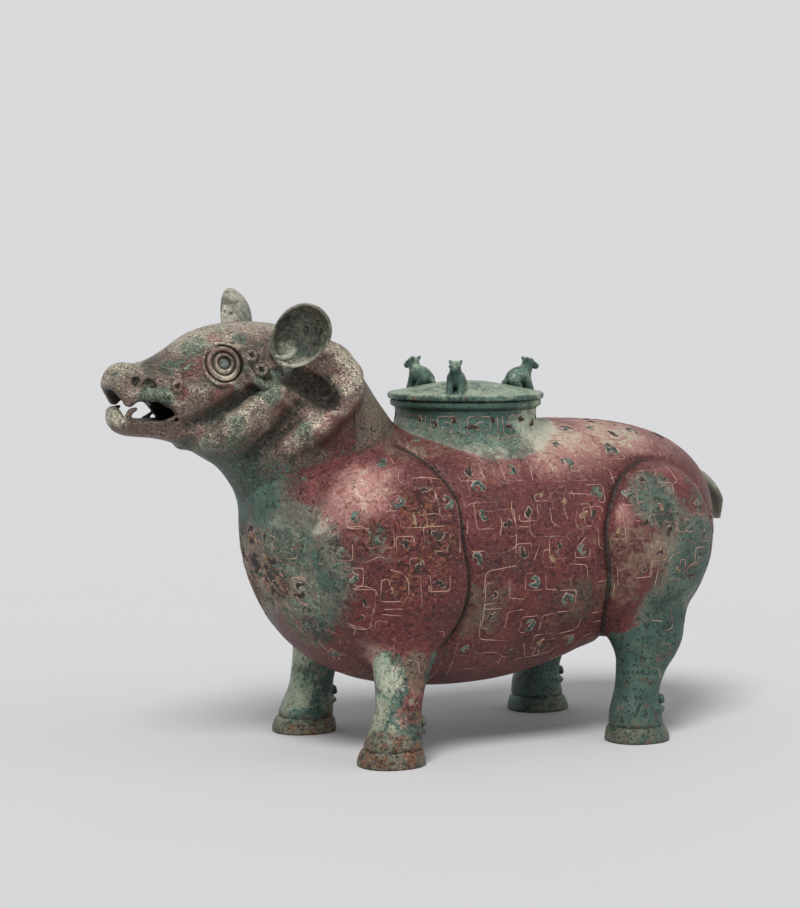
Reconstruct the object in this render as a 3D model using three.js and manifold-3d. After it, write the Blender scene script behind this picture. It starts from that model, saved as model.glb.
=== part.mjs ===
// A bronze wine vessel cast in the shape of a standing animal.
// Wine goes in through the collar on the back, under a loose lid, and pours out of the open mouth.
// Millimetres, +Z up. The head points along -X and the animal's left side faces -Y.
import * as THREE from 'three';
import { mergeVertices } from 'three/addons/utils/BufferGeometryUtils.js';
import Module from 'manifold-3d';

const wasm = await Module();
wasm.setup();

// Castings
const bronzeWall = 4;
const legWall = 3.6;
const jointGap = 0.3;

// Barrel of the body
const bodyLength = 307;
const bodyWidth = 150;
const bodyHeight = 158;
const bodyCentreX = 34.5;
const bodyCentreZ = 113;
const bodySectionPower = 2.3;
const bodyEndPower = 2.7;
const chestRise = 30;
const rumpRise = 12;
const flankTuck = 15;
const flankTuckX = 108;
const flankTuckLength = 55;

// Shoulders and haunches, raised on the barrel's sides
const shoulderX = -58;
const shoulderZ = 122;
const shoulderRelief = 8;
const haunchX = 122;
const haunchZ = 120;
const haunchRelief = 7;
const bulgeRoot = 5;

// Head, its sections set back from the tip of the nose
const noseAheadOfChest = 90;
const noseTipZ = 217;
const headSectionPower = 2.2;

// Mouth, the spout, and its gape between the lips
const mouthWidth = 17;
const mouthHeight = 17;
const mouthZ = 207;
const lowerLipThickness = 4.5;
const lowerLipZ = 205.5;
const jawEdgeZ = 199.6;
const upperLipZ = 210;
const upperLipDrop = 2.3;
const gapeDepth = 37;

// Cheek and jaw, swellings on each side of the head, given by their middles, half sizes and pitch
const cheek = { setback: 70, spread: 14, z: 204, half: [38, 21.8, 24], pitch: -30 };
const jaw = { setback: 95, spread: 15, z: 193, half: [36, 25, 27], pitch: -34 };

// Mane ring behind the jaw
const maneX = -88;
const maneZ = 201;
const maneSlope = 47;
const maneHalfHeight = 38;
const maneHalfWidth = 41;
const maneThickness = 10;

// Ears
const earX = -113.8;
const earSpread = 31;
const earRootZ = 233;
const earLength = 45;
const earWidth = 31;
const earDepth = 8;
const earThickness = 2.6;
const earStemRadius = 8;
const rightEarLift = 6;

// Eyes
const eyeSetback = 61;
const eyeZ = 232;
const eyeRadius = 10.8;
const eyeSeatDepth = 2.2;
const pupilRadius = 4.1;
const pupilCrown = 1.6;

// Legs
const frontHoofX = -57.7;
const rearHoofX = 109.5;
const hoofSpread = 59.5;
const hoofThickness = 7;

// Tail
const tailRootZ = 153;
const tailTipZ = 125;
const tailPastRump = 21;
const tailWidth = 15;
const tailThickness = 6.5;

// Collar, its heights measured from the top of the back
const collarX = 23;
const collarRise = 14.5;
const collarFootDrop = 14;
const collarSkirtDrop = 30;
const collarLipRadius = 45.7;
const collarLipHeight = 4;
const collarWaistRadius = 42.4;
const collarFootRadius = 50;
const collarBoreRadius = 38;

// Lid
const lidRadius = 47.3;
const lidRimHeight = 3.9;
const lidCrown = 6.5;
const lidThickness = 3;
const lidPlugDepth = 8;
const lidPlugWall = 2.5;
const lidPlugClearance = 0.8;

// Three small beasts cast on to the lid
const beastCount = 3;
const beastRingRadius = 35.5;
const firstBeastAngle = -127.2;
const beastHeight = 20;
const beastModelHeight = 20;
const beastSinkShare = 0.22;

// Facets
const bodyFacets = 28;
const headFacets = 24;
const roundFacets = 30;
const smallFacets = 16;
const legFacets = 14;
const coreFacets = 10;
const jowlFacets = 12;
const earStemFacets = 14;
const tailFacets = 14;
const maneSteps = 20;

const noseX = bodyCentreX - bodyLength / 2 - noseAheadOfChest;
const rumpX = bodyCentreX + bodyLength / 2;
const backZ = bodyCentreZ + bodyHeight / 2;
const collarTopZ = backZ + collarRise;
const collarFootZ = backZ - collarFootDrop;
const rad = THREE.MathUtils.degToRad;
const point = (x, y, z) => new THREE.Vector3(x, y, z);
const unit = (x, y, z) => point(x, y, z).normalize();

// Solids from meshes

function solidOf(geometry) {
  geometry.deleteAttribute('normal');
  geometry.deleteAttribute('uv');
  const merged = mergeVertices(geometry, 1e-4);
  const vertProperties = Float32Array.from(merged.attributes.position.array);
  const triVerts = Uint32Array.from(merged.index.array);
  if (volumeOf(merged.attributes.position, triVerts) < 0) triVerts.reverse();
  return new wasm.Manifold(new wasm.Mesh({ numProp: 3, vertProperties, triVerts }));
}

function volumeOf(position, faces) {
  const corner = (i) => new THREE.Vector3().fromBufferAttribute(position, i);
  let volume = 0;
  for (let f = 0; f < faces.length; f += 3) {
    const [a, b, c] = [corner(faces[f]), corner(faces[f + 1]), corner(faces[f + 2])];
    volume += a.dot(b.cross(c)) / 6;
  }
  return volume;
}

// A closed skin over rings of points.
// A loop joins its last ring to its first, and an open run ends in two poles.
function loft(rings, { loop = false, start, end } = {}) {
  const around = rings[0].length;
  const corners = rings.flat();
  const faces = [];
  const strips = loop ? rings.length : rings.length - 1;
  for (let r = 0; r < strips; r += 1) {
    const here = r * around;
    const next = ((r + 1) % rings.length) * around;
    for (let i = 0; i < around; i += 1) {
      const j = (i + 1) % around;
      faces.push(here + i, next + i, next + j, here + i, next + j, here + j);
    }
  }
  if (!loop) {
    const last = (rings.length - 1) * around;
    corners.push(start ?? middleOf(rings[0]), end ?? middleOf(rings.at(-1)));
    for (let i = 0; i < around; i += 1) {
      const j = (i + 1) % around;
      faces.push(corners.length - 2, i, j, corners.length - 1, last + j, last + i);
    }
  }
  const geometry = new THREE.BufferGeometry().setFromPoints(corners);
  geometry.setIndex(faces);
  return solidOf(geometry);
}

function middleOf(ring) {
  return ring.reduce((sum, p) => sum.add(p), point(0, 0, 0)).divideScalar(ring.length);
}

// A rounded oval ring; power 2 is an ellipse and a higher power is squarer.
function oval(centre, alongA, alongB, halfA, halfB, count, power = 2) {
  const softened = (value) => Math.sign(value) * Math.abs(value) ** (2 / power);
  return Array.from({ length: count }, (_, i) => {
    const turn = (2 * Math.PI * (i + 0.5)) / count;
    return centre.clone()
      .addScaledVector(alongA, halfA * softened(Math.cos(turn)))
      .addScaledVector(alongB, halfB * softened(Math.sin(turn)));
  });
}

// Reads a smooth curve through rows of numbers, row by row, with extra rows between each pair.
function smoothRows(rows, between) {
  const out = [];
  for (let r = 0; r < rows.length - 1; r += 1) {
    const [a, b, c, d] = [-1, 0, 1, 2].map((k) => rows[THREE.MathUtils.clamp(r + k, 0, rows.length - 1)]);
    for (let k = 0; k < between + 1; k += 1) {
      const t = k / (between + 1);
      out.push(b.map((_, i) => b[i] + 0.5 * t * (c[i] - a[i]
        + t * (2 * a[i] - 5 * b[i] + 4 * c[i] - d[i] + t * (3 * (b[i] - c[i]) + d[i] - a[i])))));
    }
  }
  return [...out, rows.at(-1)];
}

function turned(profile, x, facets = roundFacets) {
  const geometry = new THREE.LatheGeometry(profile.map(([r, z]) => new THREE.Vector2(r, z)), facets);
  geometry.rotateX(Math.PI / 2);
  geometry.translate(x, 0, 0);
  return solidOf(geometry);
}

function ellipsoid(centre, radii, pitch = 0, facets = 8) {
  const geometry = new THREE.SphereGeometry(1, facets, Math.round(facets * 0.6));
  geometry.scale(...radii);
  geometry.rotateY(rad(-pitch));
  geometry.translate(...centre);
  return solidOf(geometry);
}

const joined = (solids) => solids.reduce((sum, solid) => sum.add(solid));
const mirrored = (solid) => solid.mirror([0, 1, 0]);

// Body

function bodyAt(x, grow) {
  const along = THREE.MathUtils.clamp((x - bodyCentreX) / (bodyLength / 2 + grow), -1, 1);
  const roundness = (1 - Math.abs(along) ** bodyEndPower) ** (1 / bodyEndPower);
  const rise = along < 0 ? chestRise * along ** 6 : rumpRise * along ** 1.5;
  const halfHeight = (bodyHeight / 2 + grow) * roundness;
  const tuck = flankTuck * Math.exp(-(((x - flankTuckX) / flankTuckLength) ** 2));
  return {
    centreZ: bodyCentreZ + rise,
    halfWidth: (bodyWidth / 2 + grow) * roundness,
    above: halfHeight,
    below: Math.max(halfHeight - tuck * roundness, 0),
  };
}

function barrel(grow = 0, stations = 18) {
  const reach = bodyLength / 2 + grow;
  const rings = [];
  for (let k = 1; k < stations; k += 1) {
    const x = bodyCentreX - reach * Math.cos((Math.PI * k) / stations);
    const { centreZ, halfWidth, above, below } = bodyAt(x, grow);
    const [across, up] = [point(0, 1, 0), point(0, 0, 1)];
    const ring = oval(point(x, 0, 0), across, up, halfWidth, 1, bodyFacets, bodySectionPower);
    for (const corner of ring) corner.z = centreZ + corner.z * (corner.z > 0 ? above : below);
    rings.push(ring);
  }
  const start = point(bodyCentreX - reach, 0, bodyCentreZ + chestRise);
  const end = point(bodyCentreX + reach, 0, bodyCentreZ + rumpRise);
  return loft(rings, { start, end });
}

function flankY(x, z) {
  const { centreZ, halfWidth, above, below } = bodyAt(x, 0);
  const up = Math.min(Math.abs((z - centreZ) / (z > centreZ ? above : below)), 1);
  return halfWidth * (1 - up ** bodySectionPower) ** (1 / bodySectionPower);
}

// Outlines of the raised shoulder and haunch, as offsets from their middles.
const shoulderOutline = [
  [14, 60], [-18, 54], [-41, 30], [-43, -6], [-29, -38], [-4, -58], [28, -56], [42, -30], [40, 8], [35, 40],
];
const haunchOutline = [
  [4, 48], [-24, 41], [-41, 16], [-40, -20], [-32, -52], [-6, -64], [24, -54], [43, -22], [43, 14], [29, 38],
];

// One raised bulge on the left flank. It rises steeply at its outline and stays shallow in the middle.
function bulge(outline, x, z, relief, grow) {
  const between = grow < 0 ? 0 : 1;
  const smooth = smoothRows([...outline, outline[0]], between).slice(0, -1);
  const at = (share, lift) => smooth.map(([dx, dz]) => {
    const size = share * (1 + grow / Math.hypot(dx, dz));
    const [px, pz] = [x + dx * size, z + dz * size];
    return point(px, -(flankY(px, pz) + grow + lift), pz);
  });
  const rings = [at(1, -bulgeRoot)];
  for (const share of [1, 0.92, 0.78, 0.45]) rings.push(at(share, relief * Math.sqrt(1 - share ** 3)));
  return loft(rings, { end: point(x, -(flankY(x, z) + grow + relief), z) });
}

function bodyForm(grow = 0) {
  const left = bulge(shoulderOutline, shoulderX, shoulderZ, shoulderRelief, grow)
    .add(bulge(haunchOutline, haunchX, haunchZ, haunchRelief, grow));
  return joined([barrel(grow), left, mirrored(left)]);
}

const bodyClear = bodyForm(jointGap);

// Neck and head

// Level sections of the neck: height, front, back, half width. It leans forward as it rises out of the body.
const neckSections = [
  [128, -100, 10, 40],
  [150, -123, 4, 43],
  [170, -132, -12, 43],
  [190, -129, -28, 42],
  [208, -124, -42, 40],
  [224, -115, -54, 36],
  [236, -106, -68, 29],
];

function neckForm(grow = 0) {
  const rings = neckSections.map(([z, front, back, half]) => {
    const middle = point((front + back) / 2, 0, z);
    const facets = grow < 0 ? smallFacets : headFacets;
    return oval(middle, point(1, 0, 0), point(0, 1, 0), (back - front) / 2 + grow, half + grow, facets, 2.1);
  });
  return loft(rings);
}

// Upright sections of the head: distance behind the nose tip, top, bottom, half width.
const headSections = [
  [1.2, 226, 205, 9],
  [4, 230, 196, 13],
  [10, 232.5, 191.5, 15.5],
  [19, 232, 190, 17],
  [28, 234.5, 189, 19],
  [39, 240.5, 186.5, 23],
  [52, 248.5, 181.5, 28.5],
  [64, 252.5, 174.5, 32.5],
  [78, 254.5, 168, 35.5],
  [94, 254.5, 163, 37],
  [110, 252, 162, 37.5],
  [125, 246, 165, 36],
  [138, 236, 172, 31],
];

function headForm(grow = 0, from = 0) {
  const rings = (from > 0 ? headSections : smoothRows(headSections, 1))
    .filter(([setback]) => setback >= from)
    .map(([setback, top, bottom, half]) => {
      const middle = point(noseX + setback, 0, (top + bottom) / 2);
      const halfTall = (top - bottom) / 2 + grow;
      const facets = grow < 0 ? smallFacets : headFacets;
      return oval(middle, point(0, 1, 0), point(0, 0, 1), half + grow, halfTall, facets, headSectionPower);
    });
  return loft(rings, from > 0 ? {} : { start: point(noseX - grow, 0, noseTipZ) });
}

function maneRing(grow = 0) {
  const up = point(Math.cos(rad(maneSlope)), 0, Math.sin(rad(maneSlope)));
  const side = point(0, 1, 0);
  const rings = Array.from({ length: maneSteps }, (_, i) => {
    const turn = (2 * Math.PI * i) / maneSteps;
    const arm = up.clone().multiplyScalar(maneHalfHeight * Math.cos(turn))
      .addScaledVector(side, maneHalfWidth * Math.sin(turn));
    const across = new THREE.Vector3().crossVectors(up, side).normalize();
    const half = maneThickness / 2 + grow;
    return oval(point(maneX, 0, maneZ).add(arm), arm.clone().normalize(), across, half, half * 1.15, 6);
  });
  return loft(rings, { loop: true });
}

const swelling = ({ setback, spread, z, half, pitch }) => (
  ellipsoid([noseX + setback, -spread, z], half, pitch, jowlFacets));

// The spout runs from behind the lower lip to the hollow of the head.
function spout() {
  const rows = [
    [lowerLipThickness, mouthZ, mouthWidth / 2, mouthHeight / 2],
    [9, mouthZ + 1, mouthWidth / 2, mouthHeight / 2 + 1],
    [24, mouthZ + 3, mouthWidth / 2, mouthHeight / 2],
    [50, mouthZ + 5, mouthWidth / 2 + 1, mouthHeight / 2],
  ];
  return loft(rows.map(([setback, z, half, halfTall]) => oval(
    point(noseX + setback, 0, z), point(0, 1, 0), point(0, 0, 1), half, halfTall, smallFacets)));
}

// A cut right through the head, drawn from the side by setbacks from the nose tip and heights.
function cutAcross(outline) {
  const wide = Math.max(...headSections.map(([, , , half]) => half));
  return loft([-wide, wide].map((y) => outline.map(([setback, z]) => point(noseX + setback, y, z))));
}

// The open mouth: it faces forward between the nose and the lower lip, and runs back between the lips' edges.
function gape() {
  const lipLow = [10.5, upperLipZ - upperLipDrop];
  const front = cutAcross([
    [-4, lowerLipZ], [6, lowerLipZ], lipLow, [5, upperLipZ + 4.2], [0, noseTipZ + 2], [-4, noseTipZ + 4],
  ]);
  const sides = cutAcross([
    [4.5, lowerLipZ], [9, jawEdgeZ], [gapeDepth - 4, jawEdgeZ], [gapeDepth, jawEdgeZ + 2.4],
    [gapeDepth - 4, upperLipZ - 4], [gapeDepth - 8.5, upperLipZ], [14, upperLipZ], lipLow,
  ]);
  return front.add(sides);
}

const eyeOutward = unit(-0.05, -0.95, 0.3);

function headHalfWidthAt(setback, z) {
  const row = smoothRows(headSections, 7).find(([at]) => at >= setback);
  const [, top, bottom, half] = row;
  const up = Math.abs(z - (top + bottom) / 2) / ((top - bottom) / 2);
  return half * (1 - up ** headSectionPower) ** (1 / headSectionPower);
}

const eyeCentre = point(noseX + eyeSetback, -headHalfWidthAt(eyeSetback, eyeZ), eyeZ);

// A turned piece standing out from the left eye's place.
function atEye(profile, facets = smallFacets) {
  const geometry = new THREE.LatheGeometry(profile.map(([r, h]) => new THREE.Vector2(r, h)), facets);
  geometry.applyQuaternion(new THREE.Quaternion().setFromUnitVectors(point(0, 1, 0), eyeOutward));
  geometry.translate(...eyeCentre);
  return solidOf(geometry);
}

const eyePocketRadius = eyeRadius + jointGap;
const eyePocketReach = 9;
const eyePocket = atEye([
  [0, -eyeSeatDepth], [eyePocketRadius, -eyeSeatDepth],
  [eyePocketRadius, eyePocketReach], [0, eyePocketReach],
]);

function eyeStud() {
  const floor = jointGap - eyeSeatDepth;
  return atEye([
    [0, floor], [eyeRadius, floor], [eyeRadius, 0.7], [eyeRadius - 0.9, 1.7], [eyeRadius - 2.1, 1.5],
    [eyeRadius - 2.8, 0.1], [eyeRadius - 3.6, 0.1], [eyeRadius - 4.1, 1.9], [eyeRadius - 5.1, 2.4],
    [pupilRadius + jointGap, 2], [pupilRadius + jointGap, 0.4], [0, 0.4],
  ]);
}

function pupil() {
  const seat = 0.4 + jointGap;
  return atEye([
    [0, seat], [pupilRadius, seat], [pupilRadius, seat + pupilCrown * 0.5],
    [pupilRadius * 0.7, seat + pupilCrown * 0.9], [0, seat + pupilCrown],
  ]);
}

const headAndNeck = (grow) => joined([headForm(grow), neckForm(grow), maneRing(grow)]);
const headClear = headAndNeck(jointGap);

// The space of the collar and of what stands above it, which the neck stays out of
function collarKeepOut() {
  const radius = collarFootRadius + jointGap;
  const top = collarTopZ + bodyHeight / 2;
  return turned([[0, bodyCentreZ], [radius, bodyCentreZ], [radius, top], [0, top]], collarX);
}

const neckHollow = neckForm(-bronzeWall);

function neckAndHead() {
  const jowls = swelling(cheek).add(swelling(jaw));
  const skin = joined([headAndNeck(0), jowls, mirrored(jowls)]);
  const hollow = joined([headForm(-bronzeWall, 32), neckHollow, spout(), gape()]);
  return skin.subtract(hollow).subtract(eyePocket).subtract(mirrored(eyePocket))
    .subtract(bodyClear).subtract(collarKeepOut());
}

// Ears

// The left ear: a leaf-shaped cup on a short stem, open outward and forward.
function ear(lift) {
  const along = unit(0.31, -0.65 + lift * 0.02, 0.69 + lift * 0.02);
  const rough = unit(-0.45 - lift * 0.03, -0.85, 0);
  const open = rough.addScaledVector(along, -rough.dot(along)).normalize();
  const across = new THREE.Vector3().crossVectors(open, along);
  const root = point(earX, -earSpread, earRootZ);
  const middle = root.clone().addScaledVector(along, earLength / 2 + lift * 0.9).addScaledVector(open, 5);
  const ring = (share, depth) => oval(middle.clone().addScaledVector(open, -depth),
    along, across, share * earLength / 2, share * earWidth / 2, smallFacets);
  const outside = [[0.35, earDepth], [0.66, earDepth * 0.82], [0.9, earDepth * 0.35]];
  const inside = [[0.86, earDepth * 0.35], [0.62, earDepth * 0.8], [0.3, earDepth]];
  const cup = loft([
    ...outside.map(([share, depth]) => ring(share, depth + earThickness)),
    ring(1, 0.8), ring(1, 0), ring(0.93, 0),
    ...inside.map(([share, depth]) => ring(share, depth)),
  ]);
  const stemTop = middle.clone().addScaledVector(open, -earDepth - earThickness * 0.5)
    .addScaledVector(along, -earLength * 0.12);
  const inward = root.clone().addScaledVector(along, -10).addScaledVector(open, -4);
  const stem = loft([0, 0.5, 1].map((t) => oval(inward.clone().lerp(stemTop, t), across, open,
    earStemRadius * (1.25 - 0.5 * t), earStemRadius * (0.9 - 0.55 * t), earStemFacets)));
  return cup.add(stem).subtract(headClear);
}

// Legs

// Sections of each left leg: height, then offsets from the hoof's middle, and half sizes along and across.
const frontLegSections = [
  [108, 10, 15, 24, 19],
  [84, 11, 10, 23, 18],
  [66, 12, 6.5, 20.5, 17],
  [50, 8, 3.5, 15.6, 14.5],
  [38, 5.5, 1.5, 13.6, 13.4],
  [28, 4.2, 0.5, 13.4, 13.4],
  [21, 2.8, 0, 15.6, 15.2],
  [17, 2, 0, 16, 15.4],
  [14, 1.2, 0, 15.8, 15.2],
  [6, 0.2, 0, 19, 17.4],
  [0, 0, 0, 20, 18],
];
const rearLegSections = [
  [108, 12, 16, 32, 19],
  [84, 10, 10, 30, 18.5],
  [68, 8, 6.5, 27, 17.5],
  [60, 8.8, 4.5, 23.5, 16.5],
  [51, 7.6, 3, 19, 15],
  [43, 4, 2, 15.6, 13.8],
  [33, 0.8, 1, 13.8, 13.4],
  [25, -1.2, 0.5, 13.8, 13.4],
  [19, -1.4, 0, 16, 15.2],
  [15, -1, 0, 16, 15.2],
  [6, -0.4, 0, 19, 17.4],
  [0, 0, 0, 20, 18],
];

function legForm(sections, hoofX, grow = 0, from = 0, facets = legFacets) {
  const rings = sections.filter(([z]) => z >= from).map(([z, dx, dy, along, across]) => {
    const middle = point(hoofX + dx, dy - hoofSpread, z);
    return oval(middle, point(1, 0, 0), point(0, 1, 0), along + grow, across + grow, facets, 2.15);
  });
  return loft(rings);
}

const legEnds = {
  front: { sections: frontLegSections, hoofX: frontHoofX },
  rear: { sections: rearLegSections, hoofX: rearHoofX },
};

function legPieces(sections, hoofX) {
  const skin = legForm(sections, hoofX).subtract(bodyClear);
  const hollow = legForm(sections, hoofX, -legWall, hoofThickness, coreFacets);
  const core = legForm(sections, hoofX, -legWall - jointGap, hoofThickness + 1, coreFacets);
  return { leg: skin.subtract(hollow), core: core.subtract(bodyClear) };
}

// Tail

function tail() {
  const rows = [
    [-8, tailRootZ + 1, 0.75, 1.2],
    [4, tailRootZ, 0.8, 1.2],
    [tailPastRump * 0.55, tailRootZ - 6, 0.95, 1.1],
    [tailPastRump * 0.82, tailRootZ - 14, 1, 1],
    [tailPastRump * 0.88, (tailRootZ + tailTipZ) / 2 - 5, 0.8, 0.9],
    [tailPastRump - tailThickness * 0.3, tailTipZ, 0.4, 0.55],
  ];
  const rings = rows.map(([past, z, wide, thick], i) => {
    const before = rows[Math.max(i - 1, 0)];
    const after = rows[Math.min(i + 1, rows.length - 1)];
    const out = unit(before[1] - after[1], 0, after[0] - before[0]);
    const [halfWide, halfThick] = [wide * tailWidth / 2, thick * tailThickness / 2];
    return oval(point(rumpX + past, 0, z), point(0, 1, 0), out, halfWide, halfThick, tailFacets);
  });
  return loft(rings).subtract(bodyClear);
}

// Collar and lid

function collar() {
  const lipFoot = collarTopZ - collarLipHeight;
  const foot = backZ - collarSkirtDrop;
  return turned([
    [collarBoreRadius, foot], [collarFootRadius, foot], [collarFootRadius, collarFootZ],
    [collarFootRadius - 3.2, collarFootZ + 4], [collarWaistRadius + 1.8, collarFootZ + 10],
    [collarWaistRadius, lipFoot - 6], [collarWaistRadius + 0.6, lipFoot - 0.8],
    [collarLipRadius, lipFoot], [collarLipRadius, collarTopZ - 0.6], [collarLipRadius - 0.8, collarTopZ],
    [collarBoreRadius, collarTopZ], [collarBoreRadius, foot],
  ], collarX).subtract(bodyClear);
}

const lidSeatZ = collarTopZ + jointGap;
const lidRimZ = lidSeatZ + lidRimHeight;

// The lid's upper outline from its middle to its rim.
const lidTop = (raise) => [
  [0, lidRimZ + lidCrown + raise], [lidRadius * 0.28, lidRimZ + lidCrown * 0.95 + raise],
  [lidRadius * 0.62, lidRimZ + lidCrown * 0.5 + raise], [lidRadius * 0.84, lidRimZ + lidCrown * 0.18 + raise],
  [lidRadius - 1, lidRimZ + raise],
];

function lid() {
  const plugRadius = collarBoreRadius - lidPlugClearance;
  const plugZ = lidSeatZ - lidPlugDepth;
  return turned([
    ...lidTop(0), [lidRadius, lidRimZ - 0.9], [lidRadius, lidSeatZ + 0.9], [lidRadius - 0.9, lidSeatZ],
    [plugRadius, lidSeatZ], [plugRadius, plugZ], [plugRadius - lidPlugWall, plugZ],
    [plugRadius - lidPlugWall, lidRimZ - lidThickness],
    [lidRadius * 0.4, lidRimZ + lidCrown * 0.75 - lidThickness],
    [0, lidRimZ + lidCrown - lidThickness],
  ], collarX);
}

function lidClear() {
  const past = lidRadius + beastHeight;
  return turned([
    ...lidTop(jointGap), [past, lidRimZ + jointGap], [past, lidSeatZ], [0, lidSeatZ],
  ], collarX);
}

// A crouching beast, facing +X from its own middle, with its feet at height 0 and modelled 20 tall.
function beastForm() {
  const muzzleUp = unit(-0.94, 0, -0.35);
  const tube = (rows) => loft(rows.map(([x, y, z, half]) => oval(
    point(x, y, z), muzzleUp, point(0, 1, 0), half, half, 8)));
  const limb = (rows) => loft(rows.map(([x, y, z, half]) => oval(
    point(x, y, z), point(1, 0, 0), point(0, 1, 0), half, half * 0.8, 6)));
  const pair = (rows) => limb(rows).add(limb(rows.map(([x, y, z, half]) => [x, -y, z, half])));
  return joined([
    ellipsoid([-0.8, 0, 8], [7.4, 4.8, 5.4], 26),
    limb([[2.2, 0, 8, 4.2], [4, 0, 12.5, 3.2], [5.4, 0, 17.4, 2.2]]),
    ellipsoid([6.2, 0, 17], [3.4, 2.7, 2.8], -12, 8),
    tube([[6.5, 0, 17, 2.5], [11, 0, 15.2, 1.9]]),
    pair([[3, 2.2, 9, 2.4], [6, 3.3, -3, 2]]),
    pair([[-4.4, 3, 8, 2.8], [-4.2, 3.6, -3, 2.6]]),
    pair([[4.6, 1.6, 17.5, 1.2], [4.2, 2.6, 20, 0.5]]),
    limb([[-7, 0, 6, 1.7], [-11, 0, -3, 1.4]]),
  ]);
}

const beastSeatZ = lidRimZ + lidCrown * beastSinkShare;

function beast(index) {
  const turn = firstBeastAngle + (360 * index) / beastCount;
  const size = beastHeight / beastModelHeight;
  return beastForm().scale(size).translate([beastRingRadius, 0, beastSeatZ]).rotate([0, 0, turn])
    .translate([collarX, 0, 0]).subtract(lidClear());
}

// Body shell, cut open under the collar and into the neck

function bodyShell() {
  const throat = turned([
    [0, bodyCentreZ], [collarBoreRadius, bodyCentreZ],
    [collarBoreRadius, collarTopZ], [0, collarTopZ]], collarX);
  return bodyForm().subtract(bodyForm(-bronzeWall)).subtract(throat).subtract(neckHollow);
}

// Assembly

const finishes = {
  redBronze: [0x7a4440, 0.62, 0.35],
  greenBronze: [0x6d8f80, 0.68, 0.3],
  brownBronze: [0x8a7a68, 0.7, 0.3],
  clay: [0x6b5648, 0.95, 0],
  stone: [0x9fb0b4, 0.4, 0],
};

const vessel = new THREE.Group();

function place(name, solid, finish, parent = vessel) {
  const { vertProperties, triVerts } = solid.getMesh();
  const geometry = new THREE.BufferGeometry();
  geometry.setAttribute('position', new THREE.BufferAttribute(vertProperties, 3));
  geometry.setIndex(new THREE.BufferAttribute(triVerts, 1));
  geometry.computeVertexNormals();
  const [color, roughness, metalness] = finishes[finish];
  const mesh = new THREE.Mesh(geometry, new THREE.MeshStandardMaterial({ color, roughness, metalness }));
  mesh.name = name;
  parent.add(mesh);
}

place('body_shell', bodyShell(), 'redBronze');
place('neck_and_head', neckAndHead(), 'redBronze');
place('ear_left', ear(0), 'brownBronze');
place('ear_right', mirrored(ear(rightEarLift)), 'brownBronze');
for (const [side, onSide] of [['left', (solid) => solid], ['right', mirrored]]) {
  place(`eye_${side}`, onSide(eyeStud()), 'redBronze');
  place(`pupil_${side}`, onSide(pupil()), 'stone');
  for (const [end, { sections, hoofX }] of Object.entries(legEnds)) {
    const { leg, core } = legPieces(sections, hoofX);
    place(`leg_${end}_${side}`, onSide(leg), 'greenBronze');
    place(`core_${end}_${side}`, onSide(core), 'clay');
  }
}
place('tail', tail(), 'brownBronze');
place('collar', collar(), 'greenBronze');

const lidGroup = new THREE.Group();
vessel.add(lidGroup);
place('lid', lid(), 'greenBronze', lidGroup);
for (let i = 0; i < beastCount; i += 1) place(`lid_beast_${i + 1}`, beast(i), 'greenBronze', lidGroup);

// The origin lies on the ground under the middle of the vessel's length.
const reach = new THREE.Box3().setFromObject(vessel);
vessel.position.x = -(reach.min.x + reach.max.x) / 2;

export default vessel;
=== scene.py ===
"""The looks of a bronze wine vessel cast in the shape of a standing animal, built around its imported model.

The forms are worked out in millimetres, in the frame of the vessel: the head points along -X, the animal's
left side faces -Y and the hooves stand at height 0. Meshes are made in metres.
"""

import math

import bmesh
import bpy
import numpy as np
import openvdb
from mathutils import Matrix, Vector


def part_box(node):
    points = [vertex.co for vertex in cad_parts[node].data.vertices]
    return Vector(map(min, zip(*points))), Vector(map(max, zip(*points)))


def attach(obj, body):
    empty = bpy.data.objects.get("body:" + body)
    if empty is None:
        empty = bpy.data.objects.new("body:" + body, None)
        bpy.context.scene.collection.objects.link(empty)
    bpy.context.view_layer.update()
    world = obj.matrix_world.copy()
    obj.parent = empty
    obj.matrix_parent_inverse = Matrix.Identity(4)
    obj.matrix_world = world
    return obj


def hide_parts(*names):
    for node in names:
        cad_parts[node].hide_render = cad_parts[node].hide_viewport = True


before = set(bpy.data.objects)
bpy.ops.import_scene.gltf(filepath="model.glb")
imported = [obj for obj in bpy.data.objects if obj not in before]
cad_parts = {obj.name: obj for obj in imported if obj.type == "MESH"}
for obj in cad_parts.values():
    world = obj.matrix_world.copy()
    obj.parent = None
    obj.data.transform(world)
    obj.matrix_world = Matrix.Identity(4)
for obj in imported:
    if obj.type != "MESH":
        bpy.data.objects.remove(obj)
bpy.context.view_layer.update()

bl_info = {
    "name": "Bronze Animal Vessel",
    "version": (1, 0, 0),
    "blender": (4, 5, 0),
    "location": "View3D > Sidebar > Vessel",
    "description": "Models the castings, patina and inlay of an animal-shaped bronze wine vessel",
    "category": "Object",
}

MM = 0.001

# Barrel of the body

COLLAR_X = 23.0
BODY_X = 34.5
BODY_Z = 113.0
BODY_REACH = 153.5
HALF_WIDTH = 75.0
HALF_HEIGHT = 79.0
CHEST_RISE = 30.0
RUMP_RISE = 12.0
FLANK_TUCK = 15.0
TUCK_X = 108.0
TUCK_LENGTH = 55.0
SECTION_POWER = 2.3
END_POWER = 2.7
NECK_POWER = 2.1
HEAD_POWER = 2.2
LEG_POWER = 2.15
NOSE_X = BODY_X - BODY_REACH - 90.0
RUMP_X = BODY_X + BODY_REACH

# The vessel's frame lies a little off the middle that its forms are drawn from.
SHIFT = (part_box("collar")[0].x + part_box("collar")[1].x) / 2 / MM - COLLAR_X

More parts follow.
